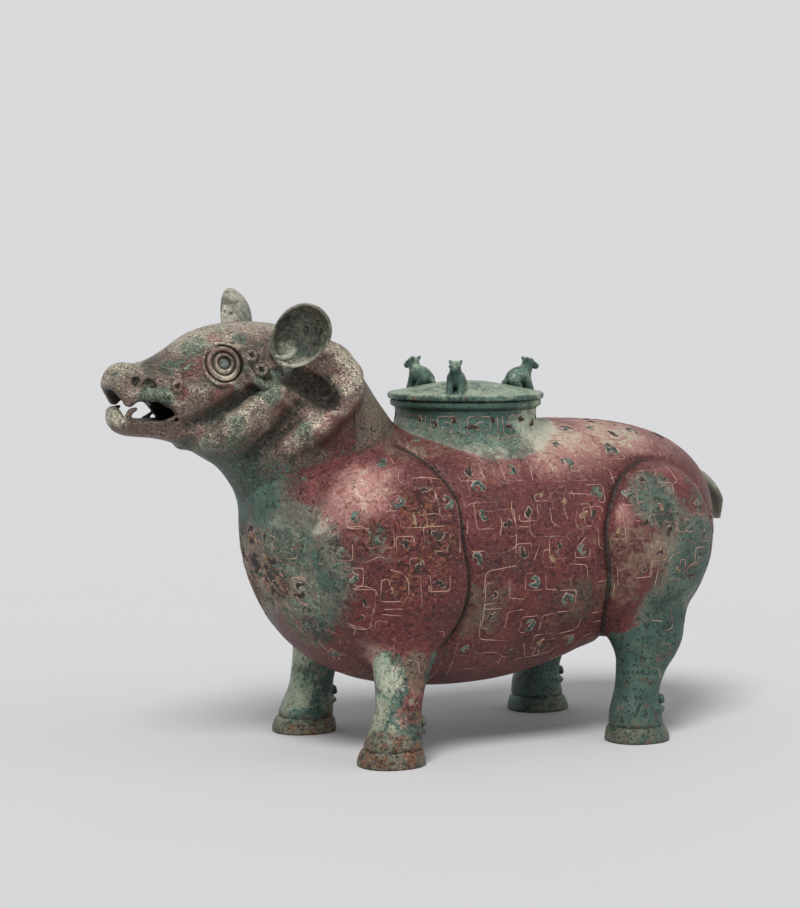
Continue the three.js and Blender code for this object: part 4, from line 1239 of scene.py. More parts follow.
class VESSEL_OT_legs(bpy.types.Operator):
    """Casts the four hollow legs with ankle rolls and hooves"""
    bl_idname = "vessel.legs"
    bl_label = "Legs"

    def execute(self, context):
        pitch = context.scene.vessel_sizes.leg_grain / MM
        for end, leg, hoof_x, reach, heel in (
                ("front", front_leg, FRONT_HOOF_X, 30, 18.4), ("rear", rear_leg, REAR_HOOF_X, 40, 14.4)):
            low = (hoof_x - 24, -HOOF_SPREAD - 22, -3)
            high = (hoof_x + 18 + reach, -HOOF_SPREAD + 40, 106)
            block = Block(low, high, pitch).fill(leg)
            x, y, z = block.x, block.y, block.z
            back_x = hoof_x + heel
            for turn in (-1, 1):
                block.work([(back_x - 0.8, -HOOF_SPREAD + 5 * turn, 25.5),
                            (back_x, -HOOF_SPREAD + 5.5 * turn, 23.5)], [2.3, 1.7], 1.4, both_sides=False)
            fold = [(back_x - back, -HOOF_SPREAD + aside, up) for back, aside, up in (
                (13, -13.6, 21.5), (7, -12.8, 20), (2, -8, 19.2), (0, 0, 19), (2, 8, 19.2), (8, 13, 20.4))]
            block.work(fold, [0.7, 1.6, 2.0, 2.0, 1.9, 0.7], 1.2, both_sides=False)
            step = np.abs(z - 9.8) * 0.9 - 0.55
            block.values = blend_cut(block.values, np.maximum(step, -block.values - 0.9), 0.7)
            inside = np.maximum(leg(x, y, z) + LEG_WALL, HOOF_THICKNESS - z)
            block.values = np.maximum(np.maximum(block.values, -z), -inside)
            block.values = np.maximum(block.values, -(body(x, y, z) + LEG_SINK))
            mix = {"red": 0.4, "green": 0.34, "pale": 0.4, "crust": 0.3, "brown": 0.45, "dark": 0.34}
            # The rear legs' darker, greener mix is partly their own teal patina and partly painted shade.
            if end == "rear":
                mix = {"red": 0.2, "green": 0.5, "pale": 0.1, "crust": 0.25, "brown": 0.45, "dark": 0.55}
            left = block.mesh(f"{end}_left_leg")
            right = mirrored(left, f"{end}_right_leg")
            place(f"{end}_left_leg", left, "green_bronze", mix, "vessel", f"leg_{end}_left")
            place(f"{end}_right_leg", right, "green_bronze", mix, "vessel", f"leg_{end}_right")
        return {"FINISHED"}


class VESSEL_OT_cores(bpy.types.Operator):
    """Gives the casting cores inside the legs their fired clay"""
    bl_idname = "vessel.cores"
    bl_label = "Casting cores"

    def execute(self, context):
        for name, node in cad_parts.items():
            if name.startswith("core_"):
                node.data.materials.clear()
                node.data.materials.append(finish_of("casting_clay"))
        return {"FINISHED"}


TAIL_ROOT_Z = 153.0
TAIL_TIP_Z = 125.0
TAIL_OUT = 21.0
TAIL_WIDTH = 15.0
TAIL_THICKNESS = 6.5


class VESSEL_OT_tail(bpy.types.Operator):
    """Casts the short hanging tail"""
    bl_idname = "vessel.tail"
    bl_label = "Tail"

    def execute(self, context):
        rows = smooth_rows([
            (-8, TAIL_ROOT_Z + 1, 0.75, 1.2), (4, TAIL_ROOT_Z, 0.8, 1.2),
            (TAIL_OUT * 0.55, TAIL_ROOT_Z - 6, 0.95, 1.1), (TAIL_OUT * 0.82, TAIL_ROOT_Z - 14, 1, 1),
            (TAIL_OUT * 0.88, (TAIL_ROOT_Z + TAIL_TIP_Z) / 2 - 5, 0.8, 0.9),
            (TAIL_OUT - TAIL_THICKNESS * 0.3, TAIL_TIP_Z, 0.4, 0.55)], 34)
        rings = []
        for i, (past, z, wide, thick) in enumerate(rows):
            before, after = rows[max(i - 1, 0)], rows[min(i + 1, len(rows) - 1)]
            out = np.array([before[1] - after[1], 0, after[0] - before[0]])
            out /= np.linalg.norm(out)
            turn = 2 * math.pi * np.arange(40) / 40
            groove = 1 - 0.10 * np.cos(turn * 6) ** 2 * (np.abs(np.sin(turn)) > 0.2)
            rings.append(np.array([RUMP_X + past, 0, z])[None]
                         + np.outer(np.cos(turn) * wide * TAIL_WIDTH / 2, (0, 1, 0))
                         + np.outer(np.sin(turn) * groove * thick * TAIL_THICKNESS / 2, out))
        place("tail_casting", lofted("tail_casting", rings), "brown_bronze",
              {"brown": 0.5, "green": 0.4, "pale": 0.3}, "vessel", "tail")
        return {"FINISHED"}


class VESSEL_OT_collar(bpy.types.Operator):
    """Casts the collar on the back"""
    bl_idname = "vessel.collar"
    bl_label = "Collar"

    def execute(self, context):
        pitch = context.scene.vessel_sizes.collar_grain / MM
        block = Block((COLLAR_X - 53, -53, 160), (COLLAR_X + 53, 53, 208), pitch).fill(collar_field)
        block.values = np.maximum(block.values, -(body(block.x, block.y, block.z) + COLLAR_SINK))
        place("collar_casting", block.mesh("collar_casting"), "green_bronze",
              {"green": 0.5, "pale": 0.2, "dark": 0.34, "brown": 0.15}, "vessel", "collar")
        return {"FINISHED"}


def lid_profile():
    """Half of the lid's section, as radius and height: from the crown over the rim and down the plug."""
    plug = COLLAR_BORE - 0.8
    return [
        (0, LID_RIM + LID_CROWN), (LID_RADIUS * 0.12, LID_RIM + LID_CROWN),
        (LID_RADIUS * 0.28, LID_RIM + LID_CROWN * 0.95), (LID_RADIUS * 0.62, LID_RIM + LID_CROWN * 0.5),
        (LID_RADIUS * 0.84, LID_RIM + LID_CROWN * 0.18), (LID_RADIUS - 2.4, LID_RIM + 0.1),
        (LID_RADIUS - 1, LID_RIM), (LID_RADIUS, LID_RIM - 0.9),
        (LID_RADIUS, LID_SEAT + 0.9), (LID_RADIUS - 0.9, LID_SEAT), (plug, LID_SEAT), (plug, LID_SEAT - 8),
        (plug - 2.5, LID_SEAT - 8), (plug - 2.5, LID_RIM - 3),
        (LID_RADIUS * 0.4, LID_RIM + LID_CROWN * 0.75 - 3), (0, LID_RIM + LID_CROWN - 3)]


class VESSEL_OT_lid(bpy.types.Operator):
    """Turns the loose lid"""
    bl_idname = "vessel.lid"
    bl_label = "Lid"

    def execute(self, context):
        mesh = turned("lid_casting", rounded_profile(lid_profile()), (COLLAR_X, 0, 0), (0, 0, 1), 144)
        place("lid_casting", mesh, "green_bronze",
              {"green": 0.4, "pale": 0.5, "crust": 0.2, "dark": 0.36, "scratch": 0.4}, "lid", "lid")
        return {"FINISHED"}


# One crouching beast: its own middle parts, then those that come in pairs, each with its softness
BEAST_PARTS = [
    (egg((-1.6, 0, 7.2), (7.8, 5.2, 5.6), 22), 2),
    (capsules([(2.4, 0, 8), (4.2, 0, 11.6), (5.0, 0, 14.8)], [4.8, 3.8, 3.0]), 2),
    (egg((5.8, 0, 15.4), (3.8, 3.3, 3.3), -12), 1),
    (capsules([(6.4, 0, 15.2), (10.6, 0, 13.4)], [2.7, 2.0]), 1),
]
BEAST_PAIRS = [
    (capsules([(3, -2.6, 8.5), (4.6, -3.2, 3), (6.2, -3.4, -3)], [2.8, 2.2, 2.4]), 1),
    (egg((-4.6, -3.2, 5.2), (4.0, 2.4, 3.8), 30), 0.8),
    (capsules([(-4.4, -3.6, 4), (-1.6, -4.2, 1.4), (-1.4, -4.2, -3)], [2.2, 1.9, 2.0]), 0.8),
    (capsules([(4.2, -2.2, 17.0), (3.4, -3.2, 18.3)], [1.5, 1.0]), 0.5),
    (capsules([(8.2, -2.6, 15.6), (8.4, -2.7, 15.6)], [0.9, 0.9]), 0.2),
]


def beast_field(x, y, z):
    whole = None
    for part, soft in BEAST_PARTS:
        here = part(x, y, z)
        whole = here if whole is None else blend_union(whole, here, soft)
    for part, soft in BEAST_PAIRS:
        whole = blend_union(whole, part(x, -np.abs(y), z), soft)
    tail = capsules([(-7, 0, 6), (-10.5, 0, 3.5), (-11.6, 0, -3)], [1.7, 1.4, 1.3])
    return blend_union(whole, tail(x, y, z), 1)


FIRST_BEAST = math.radians(-127.2)


class VESSEL_OT_lid_beasts(bpy.types.Operator):
    """Sets the three crouching beasts round the lid"""
    bl_idname = "vessel.lid_beasts"
    bl_label = "Lid beasts"

    def execute(self, context):
        sizes = context.scene.vessel_sizes
        block = Block((-15, -8, -4), (15, 8, 23), 0.42).fill(beast_field)
        model = block.mesh("beast_model")
        model.transform(Matrix.Translation((-SHIFT * MM, 0, 0)))
        size = sizes.beast_height / (BEAST_HEIGHT * MM)
        seat = (LID_RIM + LID_CROWN * 0.22) * MM
        middle = ((COLLAR_X + SHIFT) * MM, 0, seat)
        whole = ring_of(model, "lid_beast_castings", 3, sizes.beast_ring, FIRST_BEAST, middle, size)
        place("lid_beast_castings", whole, "green_bronze",
              {"green": 0.5, "pale": 0.35, "dark": 0.4, "brown": 0.35}, "lid",
              "lid_beast_1", "lid_beast_2", "lid_beast_3")
        return {"FINISHED"}


# Geometry Nodes

class Geometry(Tree):
    """A geometry node tree with named inputs, which is run once and leaves a plain mesh."""

    def __init__(self, name, **inputs):
        self.group = bpy.data.node_groups.new(name, "GeometryNodeTree")
        super().__init__(self.group)
        for way in ("INPUT", "OUTPUT"):
            self.group.interface.new_socket("Geometry", in_out=way, socket_type="NodeSocketGeometry")
        self.sizes = {}
        for key, (kind, value) in inputs.items():
            socket = self.group.interface.new_socket(key, in_out="INPUT", socket_type=kind)
            self.sizes[socket.identifier] = value
        self.start = self.nodes.new("NodeGroupInput")

    def given(self, name):
        return Value(self, self.start.outputs[name])

    def bake(self, result, finish, source, name):
        """Gives the result its finish, runs the tree on a mesh and returns the plain mesh that it makes."""
        self.end("NodeGroupOutput", self.node("GeometryNodeSetMaterial", Geometry=result, Material=finish))
        holder = linked(name, source)
        modifier = holder.modifiers.new(name, "NODES")
        modifier.node_group = self.group
        for identifier, value in self.sizes.items():
            modifier[identifier] = value
        bpy.context.view_layer.update()
        seen = bpy.context.evaluated_depsgraph_get()
        out = bpy.data.meshes.new_from_object(
            holder.evaluated_get(seen), preserve_all_data_layers=True, depsgraph=seen)
        holder.modifiers.remove(modifier)
        bpy.data.objects.remove(holder)
        out.name = name
        return out


def ring_of(model, name, count, radius, first_turn, middle, size):
    """Copies a model round a ring, each copy facing outward."""
    model_piece = linked("ring_model", model)
    geometry = Geometry(
        "ring_of_castings", Model=("NodeSocketObject", model_piece), Count=("NodeSocketInt", count),
        Radius=("NodeSocketFloat", float(radius)), Turn=("NodeSocketFloat", float(first_turn)),
        Size=("NodeSocketFloat", float(size)), Middle=("NodeSocketVector", tuple(float(v) for v in middle)),
        Finish=("NodeSocketMaterial", finish_of("green_bronze")))
    node, given = geometry.node, geometry.given
    circle = node("GeometryNodeMeshCircle", Vertices=given("Count"), Radius=given("Radius"))
    turn = node("GeometryNodeInputIndex").maths("DIVIDE", given("Count")) * (2 * math.pi)
    source = node("GeometryNodeObjectInfo", output="Geometry", Object=given("Model"))
    copies = node("GeometryNodeInstanceOnPoints", Points=circle, Instance=source,
                  Rotation=node("ShaderNodeCombineXYZ", Z=turn), Scale=given("Size"))
    real = node("GeometryNodeRealizeInstances", Geometry=copies)
    moved = node("GeometryNodeTransform", Geometry=real, Translation=given("Middle"),
                 Rotation=node("ShaderNodeCombineXYZ", Z=given("Turn")))
    seed = bpy.data.meshes.new("ring_seed")
    seed.from_pydata([(0, 0, 0)], [], [])
    whole = geometry.bake(moved, given("Finish"), seed, name)
    bpy.data.objects.remove(model_piece)
    whole.shade_smooth()
    return whole


# Inlaid lines and cells: angular hooks over the flank and the shoulder, in x and z on the animal's left side

FLANK_LINES = [
    [(16, 150), (15, 145), (17, 136), (16, 124), (9, 121), (-3, 121)], [(17, 136), (25, 135)],
    [(26, 142), (26, 132), (28, 129), (42, 129), (51, 128), (55, 122)], [(41, 145), (41, 137), (46, 134)],
    [(50, 146), (51, 151), (55, 153), (68, 152), (70, 151)], [(50, 145), (52, 138)],
    [(-5, 98), (-4, 109), (-2, 111), (16, 113)], [(-13, 148), (-11, 150), (6, 150)],
    [(8, 168), (12, 161), (18, 160)], [(36, 178), (34, 172), (34, 163), (33, 161)],
    [(47, 159), (49, 160), (70, 160)], [(46, 175), (53, 176), (55, 175)],
    [(1, 167), (3, 164), (2, 158), (-1, 156)], [(-7, 145), (4, 145), (8, 140), (6, 131)],
    [(-14, 141), (-16, 122)], [(33, 128), (32, 125), (28, 116)], [(59, 143), (57, 137), (58, 133)],
    [(63, 127), (57, 121)], [(28, 171), (26, 166)], [(36, 108), (36, 98), (44, 97)],
    [(52, 112), (64, 111), (65, 103)], [(12, 104), (12, 94), (22, 93)], [(72, 134), (73, 120), (80, 119)],
    [(76, 108), (84, 108), (85, 98)], [(80, 168), (88, 166), (89, 156)]
]
SHOULDER_LINES = [
    [(-97, 140), (-89, 145), (-78, 146)], [(-48, 111), (-46, 95)], [(-42, 111), (-41, 102)],
    [(-55, 110), (-54, 101), (-57, 94)], [(-67, 92), (-57, 92)], [(-21, 153), (-22, 137), (-23, 123)],
    [(-41, 166), (-31, 165), (-21, 162)], [(-31, 151), (-25, 150)], [(-46, 145), (-36, 146), (-30, 142)],
    [(-85, 104), (-79, 106), (-73, 104), (-71, 100)], [(-87, 158), (-85, 161), (-83, 161)],
    [(-59, 148), (-65, 148), (-69, 144)], [(-65, 115), (-58, 113), (-55, 109)],
    [(-87, 139), (-79, 140), (-75, 136)], [(-63, 170), (-67, 159), (-63, 157)],
    [(-39, 125), (-32, 124), (-30, 128)], [(-52, 169), (-54, 164), (-50, 162)],
    [(-79, 119), (-70, 123), (-68, 121)]
]
FLANK_CELLS = {
    "green": [(-4, 159), (21, 168), (60, 170), (74, 152), (-10, 118), (-3, 143), (61, 120), (52, 90),
              (95, 177), (28, 103)],
    "seat": [(26, 143), (11, 138), (21, 121), (44, 122), (-6, 167), (78, 95), (70, 140), (2, 96)],
    "ochre": [(37, 154), (63, 140), (51, 149), (40, 116), (84, 130)],
}
SHOULDER_CELLS = {
    "green": [(-57, 153), (-81, 145), (-70, 132), (-85, 111), (-59, 174), (-28, 152), (-90, 125)],
    "seat": [(-40, 159), (-37, 134), (-48, 116), (-36, 106), (-78, 96), (-56, 129)],
    "ochre": [(-64, 103), (-50, 143)],
}
# Curled strokes of the cells: x, y and half width along each
CELL_PATHS = {
    "green": [(3.6, -1.6, 0.5), (3.0, 1.4, 1.5), (0.6, 2.9, 1.7), (-2.0, 2.4, 1.2), (-3.2, 0.2, 0.8),
              (-2.2, -2.0, 0.6), (-0.2, -2.3, 0.25)],
    "seat": [(3.4, 1.8, 0.4), (2.6, -0.4, 1.5), (0.4, -1.2, 1.8), (-1.2, 0.4, 1.3), (-3.2, 0.6, 0.8),
             (-3.8, -1.4, 0.3)],
    "ochre": [(2.7, 1.4, 1.5), (0.3, 1.0, 1.3), (-1.3, -0.4, 0.8), (-1.6, -2.2, 0.3)],
}
BARREL_RADIUS = 77.0
BARREL_ENDS = (-52.0, 122.0)
FRONT_LEG_MARKS = [
    [(-58, 88), (-58, 79), (-50, 78)], [(-45, 82), (-45, 71), (-52, 70)], [(-52, 62), (-46, 61), (-45, 54)],
    [(-56, 48), (-50, 46), (-49, 40)], [(-43, 96), (-36, 95), (-35, 87)], [(-60, 66), (-58, 60), (-60, 55)],
]
REAR_LEG_MARKS = [
    [(112, 84), (112, 74), (120, 73)], [(128, 80), (128, 68), (122, 67)], [(118, 60), (125, 59), (126, 52)],
    [(112, 45), (118, 44), (119, 38)], [(134, 92), (140, 91), (141, 84)],
]


def barrel_rays(places):
    """Rays that reach places given along the barrel and round it, both in millimetres."""
    u, v = np.array(places, float).T
    turn = v / BARREL_RADIUS
    start = np.clip(u, *BARREL_ENDS)
    past = (u - start) / BARREL_RADIUS * 1.1
    origins = np.stack([start, np.zeros(len(u)), np.full(len(u), BODY_Z)], 1)
    return origins, np.stack([np.sin(past), -np.cos(turn) * np.cos(past), np.sin(turn) * np.cos(past)], 1)


def pattern_rays(places, middle):
    """Rays that reach the pattern: level ones for the two panels as drawn, barrel rays for their repeats."""
    if middle == (0, 0):
        return level_rays(places + (0, BODY_Z))
    return barrel_rays(places)


def tile(points, middle, along, up):
    """Moves a panel of the pattern, mirroring it where a direction is negative."""
    return [(middle[0] + along * u, middle[1] + up * (z - BODY_Z)) for u, z in points]


# Where the panels are repeated: along the barrel, the way each faces, and in bands round it
PANEL_SPOTS = (
    ("flank", 0, 1), ("shoulder", 0, 1), ("shoulder", 66, -1), ("shoulder", 262, 1), ("shoulder", -196, -1))
PANEL_BANDS = ((0, 1), (131, -1), (-47, -1))


def tiles():
    """The places on the barrel that the two panels are repeated at."""
    for band, up in PANEL_BANDS:
        for panel, middle, along in PANEL_SPOTS:
            yield panel, (middle, band), along, up


def rounded_path(points, step):
    """A path through points with cut corners, in steps of even length."""
    points = np.array(points, float)
    if len(points) > 2:
        a, b = points[:-1], points[1:]
        length = np.maximum(np.linalg.norm(b - a, axis=1), 1e-6)[:, None]
        cut = np.minimum(0.3, 1.1 / length)
        inner = np.stack([a + (b - a) * cut, b - (b - a) * cut], 1).reshape(-1, points.shape[1])
        points = np.concatenate([points[:1], inner[1:-1], points[-1:]])
    run = np.concatenate([[0], np.cumsum(np.linalg.norm(np.diff(points, axis=0), axis=1))])
    at = np.linspace(0, run[-1], max(3, int(run[-1] / step) + 1))
    return np.stack([np.interp(at, run, points[:, c]) for c in range(points.shape[1])], 1)


def open_skin(points):
    """Whether each place lies on open skin, clear of neck, legs, collar and the grooves of the outlines."""
    x, y, z = points.T
    clear = (neck(x, y, z) > 1.5) & (legs_near(x, y, z) > 3) & (np.hypot(x - COLLAR_X, y) > 53)
    for part in (SHOULDER, HAUNCH):
        share, radius = outline_share(part[4], x - part[0], z - part[1])
        clear &= (np.abs((share - 1) * radius - 0.8) > 2.4) | (np.abs(y) < 22)
    return clear


def framed_cells(cells):
    """Angular hooks that half enclose the cells, each in the next of four turns."""
    for number, (u, z) in enumerate(spot for spots in cells.values() for spot in spots):
        turn = number % 4
        wide, tall = 5.2 + 1.3 * (number % 3), 4.6 + 1.1 * (number % 2)
        hook = [(-wide, -tall), (-wide, tall), (wide, tall), (wide, 0.2 * tall)]
        if number % 5 == 3:
            hook.append((0.45 * wide, 0.2 * tall))
        for _ in range(turn):
            hook = [(-b, a) for a, b in hook]
        yield [(u + a, z + b) for a, b in hook]


def pattern_paths(step):
    """All inlaid lines of the left side, as chains of places on the skin with their normals."""
    chains = []
    for panel, middle, along, up in tiles():
        lines, cells = (FLANK_LINES, FLANK_CELLS) if panel == "flank" else (SHOULDER_LINES, SHOULDER_CELLS)
        for line in [*lines, *framed_cells(cells)]:
            chains.append(pattern_rays(rounded_path(tile(line, middle, along, up), step), middle))
    return chains


# The collar's scroll: distance round the wall and height
COLLAR_SCROLL = [
    [(-9, 186), (-9, 198), (5, 198), (5, 190), (-4, 190), (-4, 194.5), (0.5, 194.5)],
    [(9.5, 198), (9.5, 187), (1, 186)],
]
COLLAR_SCROLLS = 12
SCROLL_RADIUS = 43


def round_collar(turn, z):
    """Places on the collar's wall, with their normals, at some turns round it and heights."""
    normals = np.stack([np.cos(turn), -np.sin(turn), 0 * turn], 1)
    radius = np.interp(z, COLLAR_PROFILE[:, 0], COLLAR_PROFILE[:, 1])
    points = normals * radius[:, None] + (COLLAR_X, 0, 0)
    points[:, 2] = z
    return points, normals


def collar_chains(step):
    """The scrolls on the left half of the collar, every second one turned over."""
    chains = []
    for unit in range(COLLAR_SCROLLS // 2):
        middle = 2 * math.pi * (unit + 0.5) / COLLAR_SCROLLS
        for line in COLLAR_SCROLL:
            run, z = rounded_path(line, step).T
            chains.append(round_collar(middle + (-1) ** unit * run / SCROLL_RADIUS, z))
    return chains


def met(field, chains, reach):
    """Where all the rays of some chains meet the skin, in one go."""
    return found_along(field, *(np.concatenate([c[k] for c in chains]) for k in (0, 1)), reach)


def on_skin(field, chains, reach):
    """Brings chains of rays to the skin; returns their places and normals, cut where the skin isn't open."""
    points = met(field, chains, reach)
    normals = normals_of(field, points)
    open_here = open_skin(points) if field is body else np.ones(len(points), bool)
    out, start = [], 0
    for origins, _ in chains:
        stop = start + len(origins)
        run = []
        for i in range(start, stop + 1):
            if i < stop and open_here[i]:
                run.append(i)
                continue
            if len(run) > 3:
                out.append((points[run], normals[run]))
            run = []
        start = stop
    return out


def strokes_mesh(name, chains, sink):
    """A mesh of bare edges that follows the chains on both sides of the animal."""
    points, edges = [], []
    for side in (1, -1):
        for places, normals in chains:
            path = (places - normals * sink) * (1, side, 1) + (SHIFT, 0, 0)
            edges += [(len(points) + i, len(points) + i + 1) for i in range(len(path) - 1)]
            points += (path * MM).tolist()
    mesh = bpy.data.meshes.new(name)
    mesh.from_pydata(points, edges, [])
    return mesh


def swept(strokes, name, radius, wander, seed, finish):
    """Sweeps a small round along every stroke, its thickness wandering like hand-cut inlay."""
    geometry = Geometry(
        "hand_cut_lines", Radius=("NodeSocketFloat", radius), Wander=("NodeSocketFloat", wander),
        Seed=("NodeSocketInt", seed), Finish=("NodeSocketMaterial", finish))
    node, given = geometry.node, geometry.given
    curve = node("GeometryNodeMeshToCurve", Mesh=given("Geometry"))
    noise = node("ShaderNodeTexNoise", noise_dimensions="4D", output="Fac", W=given("Seed"), Scale=140.0)
    width = node("ShaderNodeMath", noise - 0.5, given("Wander"), 0.85, operation="MULTIPLY_ADD")
    width = width.maths("MINIMUM", 1.05).maths("MAXIMUM", 0.1)
    profile = node("GeometryNodeCurvePrimitiveCircle", Resolution=6, Radius=given("Radius"))
    sized = node("GeometryNodeSetCurveRadius", Curve=curve, Radius=width)
    tube = node("GeometryNodeCurveToMesh", Curve=sized, Profile_Curve=profile, Fill_Caps=True)
    return geometry.bake(tube, given("Finish"), strokes, name)


def cell_model(kind, margin, height):
    """One inlaid cell: a flattened, tapering stroke that curls like a comma, facing +Z."""
    rows = smooth_rows(CELL_PATHS[kind], 18)
    rings = []
    for i, (x, y, width) in enumerate(rows):
        way = rows[min(i + 1, len(rows) - 1), :2] - rows[max(i - 1, 0), :2]
        side = np.array((-way[1], way[0], 0)) / max(np.hypot(*way), 1e-6)
        rings.append(ring_points((x - SHIFT, y, 0), side, (0, 0, 1), width + margin, height, 12))
    return lofted("cell_" + kind, rings)


FULL_TURN = 6.283
CELL_SIZES = (0.6, 0.95)
CELL_SWING = 0.005


def scattered(model, places, name, seed, finish):
    """Lays copies of a model on the skin, each turned and sized by chance from a fixed seed."""
    model_piece = linked("cell_model", model)
    geometry = Geometry(
        "laid_cells", Model=("NodeSocketObject", model_piece), Seed=("NodeSocketInt", seed),
        Finish=("NodeSocketMaterial", finish))
    node, given = geometry.node, geometry.given

    def chance(low, high):
        return node("FunctionNodeRandomValue", data_type="FLOAT", output="Value", Min=low, Max=high,
                    Seed=given("Seed"))

    facing = node("GeometryNodeInputNamedAttribute", data_type="FLOAT_VECTOR", output="Attribute",
                  Name="facing")
    upright = node("FunctionNodeAlignRotationToVector", axis="Z", Vector=facing)
    turn = node("FunctionNodeAxisAngleToRotation", Angle=chance(0.0, FULL_TURN))
    way = node("FunctionNodeRotateRotation", rotation_space="LOCAL", Rotation=upright, Rotate_By=turn)
    size = chance(*CELL_SIZES)
    source = node("GeometryNodeObjectInfo", output="Geometry", Object=given("Model"))
    copies = node("GeometryNodeInstanceOnPoints", Points=given("Geometry"), Instance=source, Rotation=way,
                  Scale=size)
    real = node("GeometryNodeRealizeInstances", Geometry=copies)
    unrest = node("ShaderNodeTexNoise", noise_dimensions="3D", output="Color", Scale=330.0, Detail=2.0)
    swing = node("ShaderNodeVectorMath", unrest, (CELL_SWING,) * 3, (-CELL_SWING / 2,) * 3,
                 operation="MULTIPLY_ADD")
    level = node("ShaderNodeVectorMath", swing, facing, operation="DOT_PRODUCT", output="Value")
    rise = node("ShaderNodeVectorMath", facing, level, operation="SCALE")
    along_skin = node("ShaderNodeVectorMath", swing, rise, operation="SUBTRACT")
    shaken = node("GeometryNodeSetPosition", Geometry=real, Offset=along_skin)
    whole = geometry.bake(shaken, given("Finish"), places, name)
    bpy.data.objects.remove(model_piece)
    whole.shade_smooth()
    return whole


CELL_ROOM = np.array((2.5, 0, 2.5))


def cell_places(kind):
    """Where the cells of one kind lie on both sides, as loose points that know their normals."""
    chains = []
    for panel, middle, along, up in tiles():
        cells = (FLANK_CELLS if panel == "flank" else SHOULDER_CELLS)[kind]
        chains.append(pattern_rays(np.array(tile(cells, middle, along, up)), middle))
    points = met(body, chains, SKIN_REACH)
    normals = normals_of(body, points)
    clear = open_skin(points) & open_skin(points + CELL_ROOM) & open_skin(points - CELL_ROOM)
    points, normals = points[clear], normals[clear]
    if kind == "seat":
        turn = 2 * math.pi * (np.arange(COLLAR_SCROLLS) / 2 + 0.25) / COLLAR_SCROLLS
        more, ways = round_collar(turn, np.where(np.arange(COLLAR_SCROLLS) % 2, 191.5, 195.0))
        points, normals = np.concatenate([points, more]), np.concatenate([normals, ways])
    points = np.concatenate([points, points * (1, -1, 1)])
    normals = np.concatenate([normals, normals * (1, -1, 1)])
    mesh = bpy.data.meshes.new("cell_places")
    mesh.from_pydata(((points + (SHIFT, 0, 0)) * MM).tolist(), [], [])
    facing = mesh.attributes.new("facing", "FLOAT_VECTOR", "POINT")
    facing.data.foreach_set("vector", normals.astype(np.float32).ravel())
    return mesh


class VESSEL_OT_inlay_lines(bpy.types.Operator):
    """Lays the inlaid lines over body and legs"""
    bl_idname = "vessel.inlay_lines"
    bl_label = "Inlaid lines"

    def execute(self, context):
        look = context.scene.vessel_inlay
        half = look.line_width / MM / 2
        radius = (half * half + (look.line_height / MM) ** 2) / (2 * look.line_height / MM)
        radius = min(radius, half * 1.25)
        step = look.line_step / MM
        chains = on_skin(body, pattern_paths(step), SKIN_REACH)
        for leg, lines in ((front_leg, FRONT_LEG_MARKS), (rear_leg, REAR_LEG_MARKS)):
            rays = [level_rays(rounded_path(line, step), -HOOF_SPREAD + 4) for line in lines]
            chains += on_skin(leg, rays, LEG_REACH)
        chains += collar_chains(step)
        strokes = strokes_mesh("strokes", chains, radius - look.line_height / MM)
        mesh = swept(strokes, "inlay_lines", radius * MM, 2.6, 7, finish_of("inlay_line"))
        place("inlay_lines", mesh, "inlay_line", None, "vessel", slot="red_bronze")
        return {"FINISHED"}


class VESSEL_OT_inlay_cells(bpy.types.Operator):
    """Lays the comma-shaped cells over the body"""
    bl_idname = "vessel.inlay_cells"
    bl_label = "Inlaid cells"

    def execute(self, context):
        for seed, kind in enumerate(CELL_PATHS):
            for layer, margin, height, finish in (
                    ("seat", 0.42, 0.16, "inlay_edge"),
                    ("fill", 0.0, 0.26, f"inlay_{kind}")):
                name = f"inlay_{kind}_{layer}"
                model = cell_model(kind, margin, height)
                mesh = scattered(model, cell_places(kind), name, seed + 3, finish_of(finish))
                place(name, mesh, finish, None, "vessel", slot="red_bronze")
        return {"FINISHED"}


# Where the camera stands, in metres, and its turn; then in pixels the picture's depth, the horizon's height
# above its middle and the aim to one side
CAMERA_PLACE = (-0.6972, -1.3168, 0.290)
CAMERA_TURN = math.radians(-27.9)
CAMERA_DEPTH = 2480
CAMERA_DIP = 194
CAMERA_ASIDE = 32.3
FLOOR_HALF = 40.0


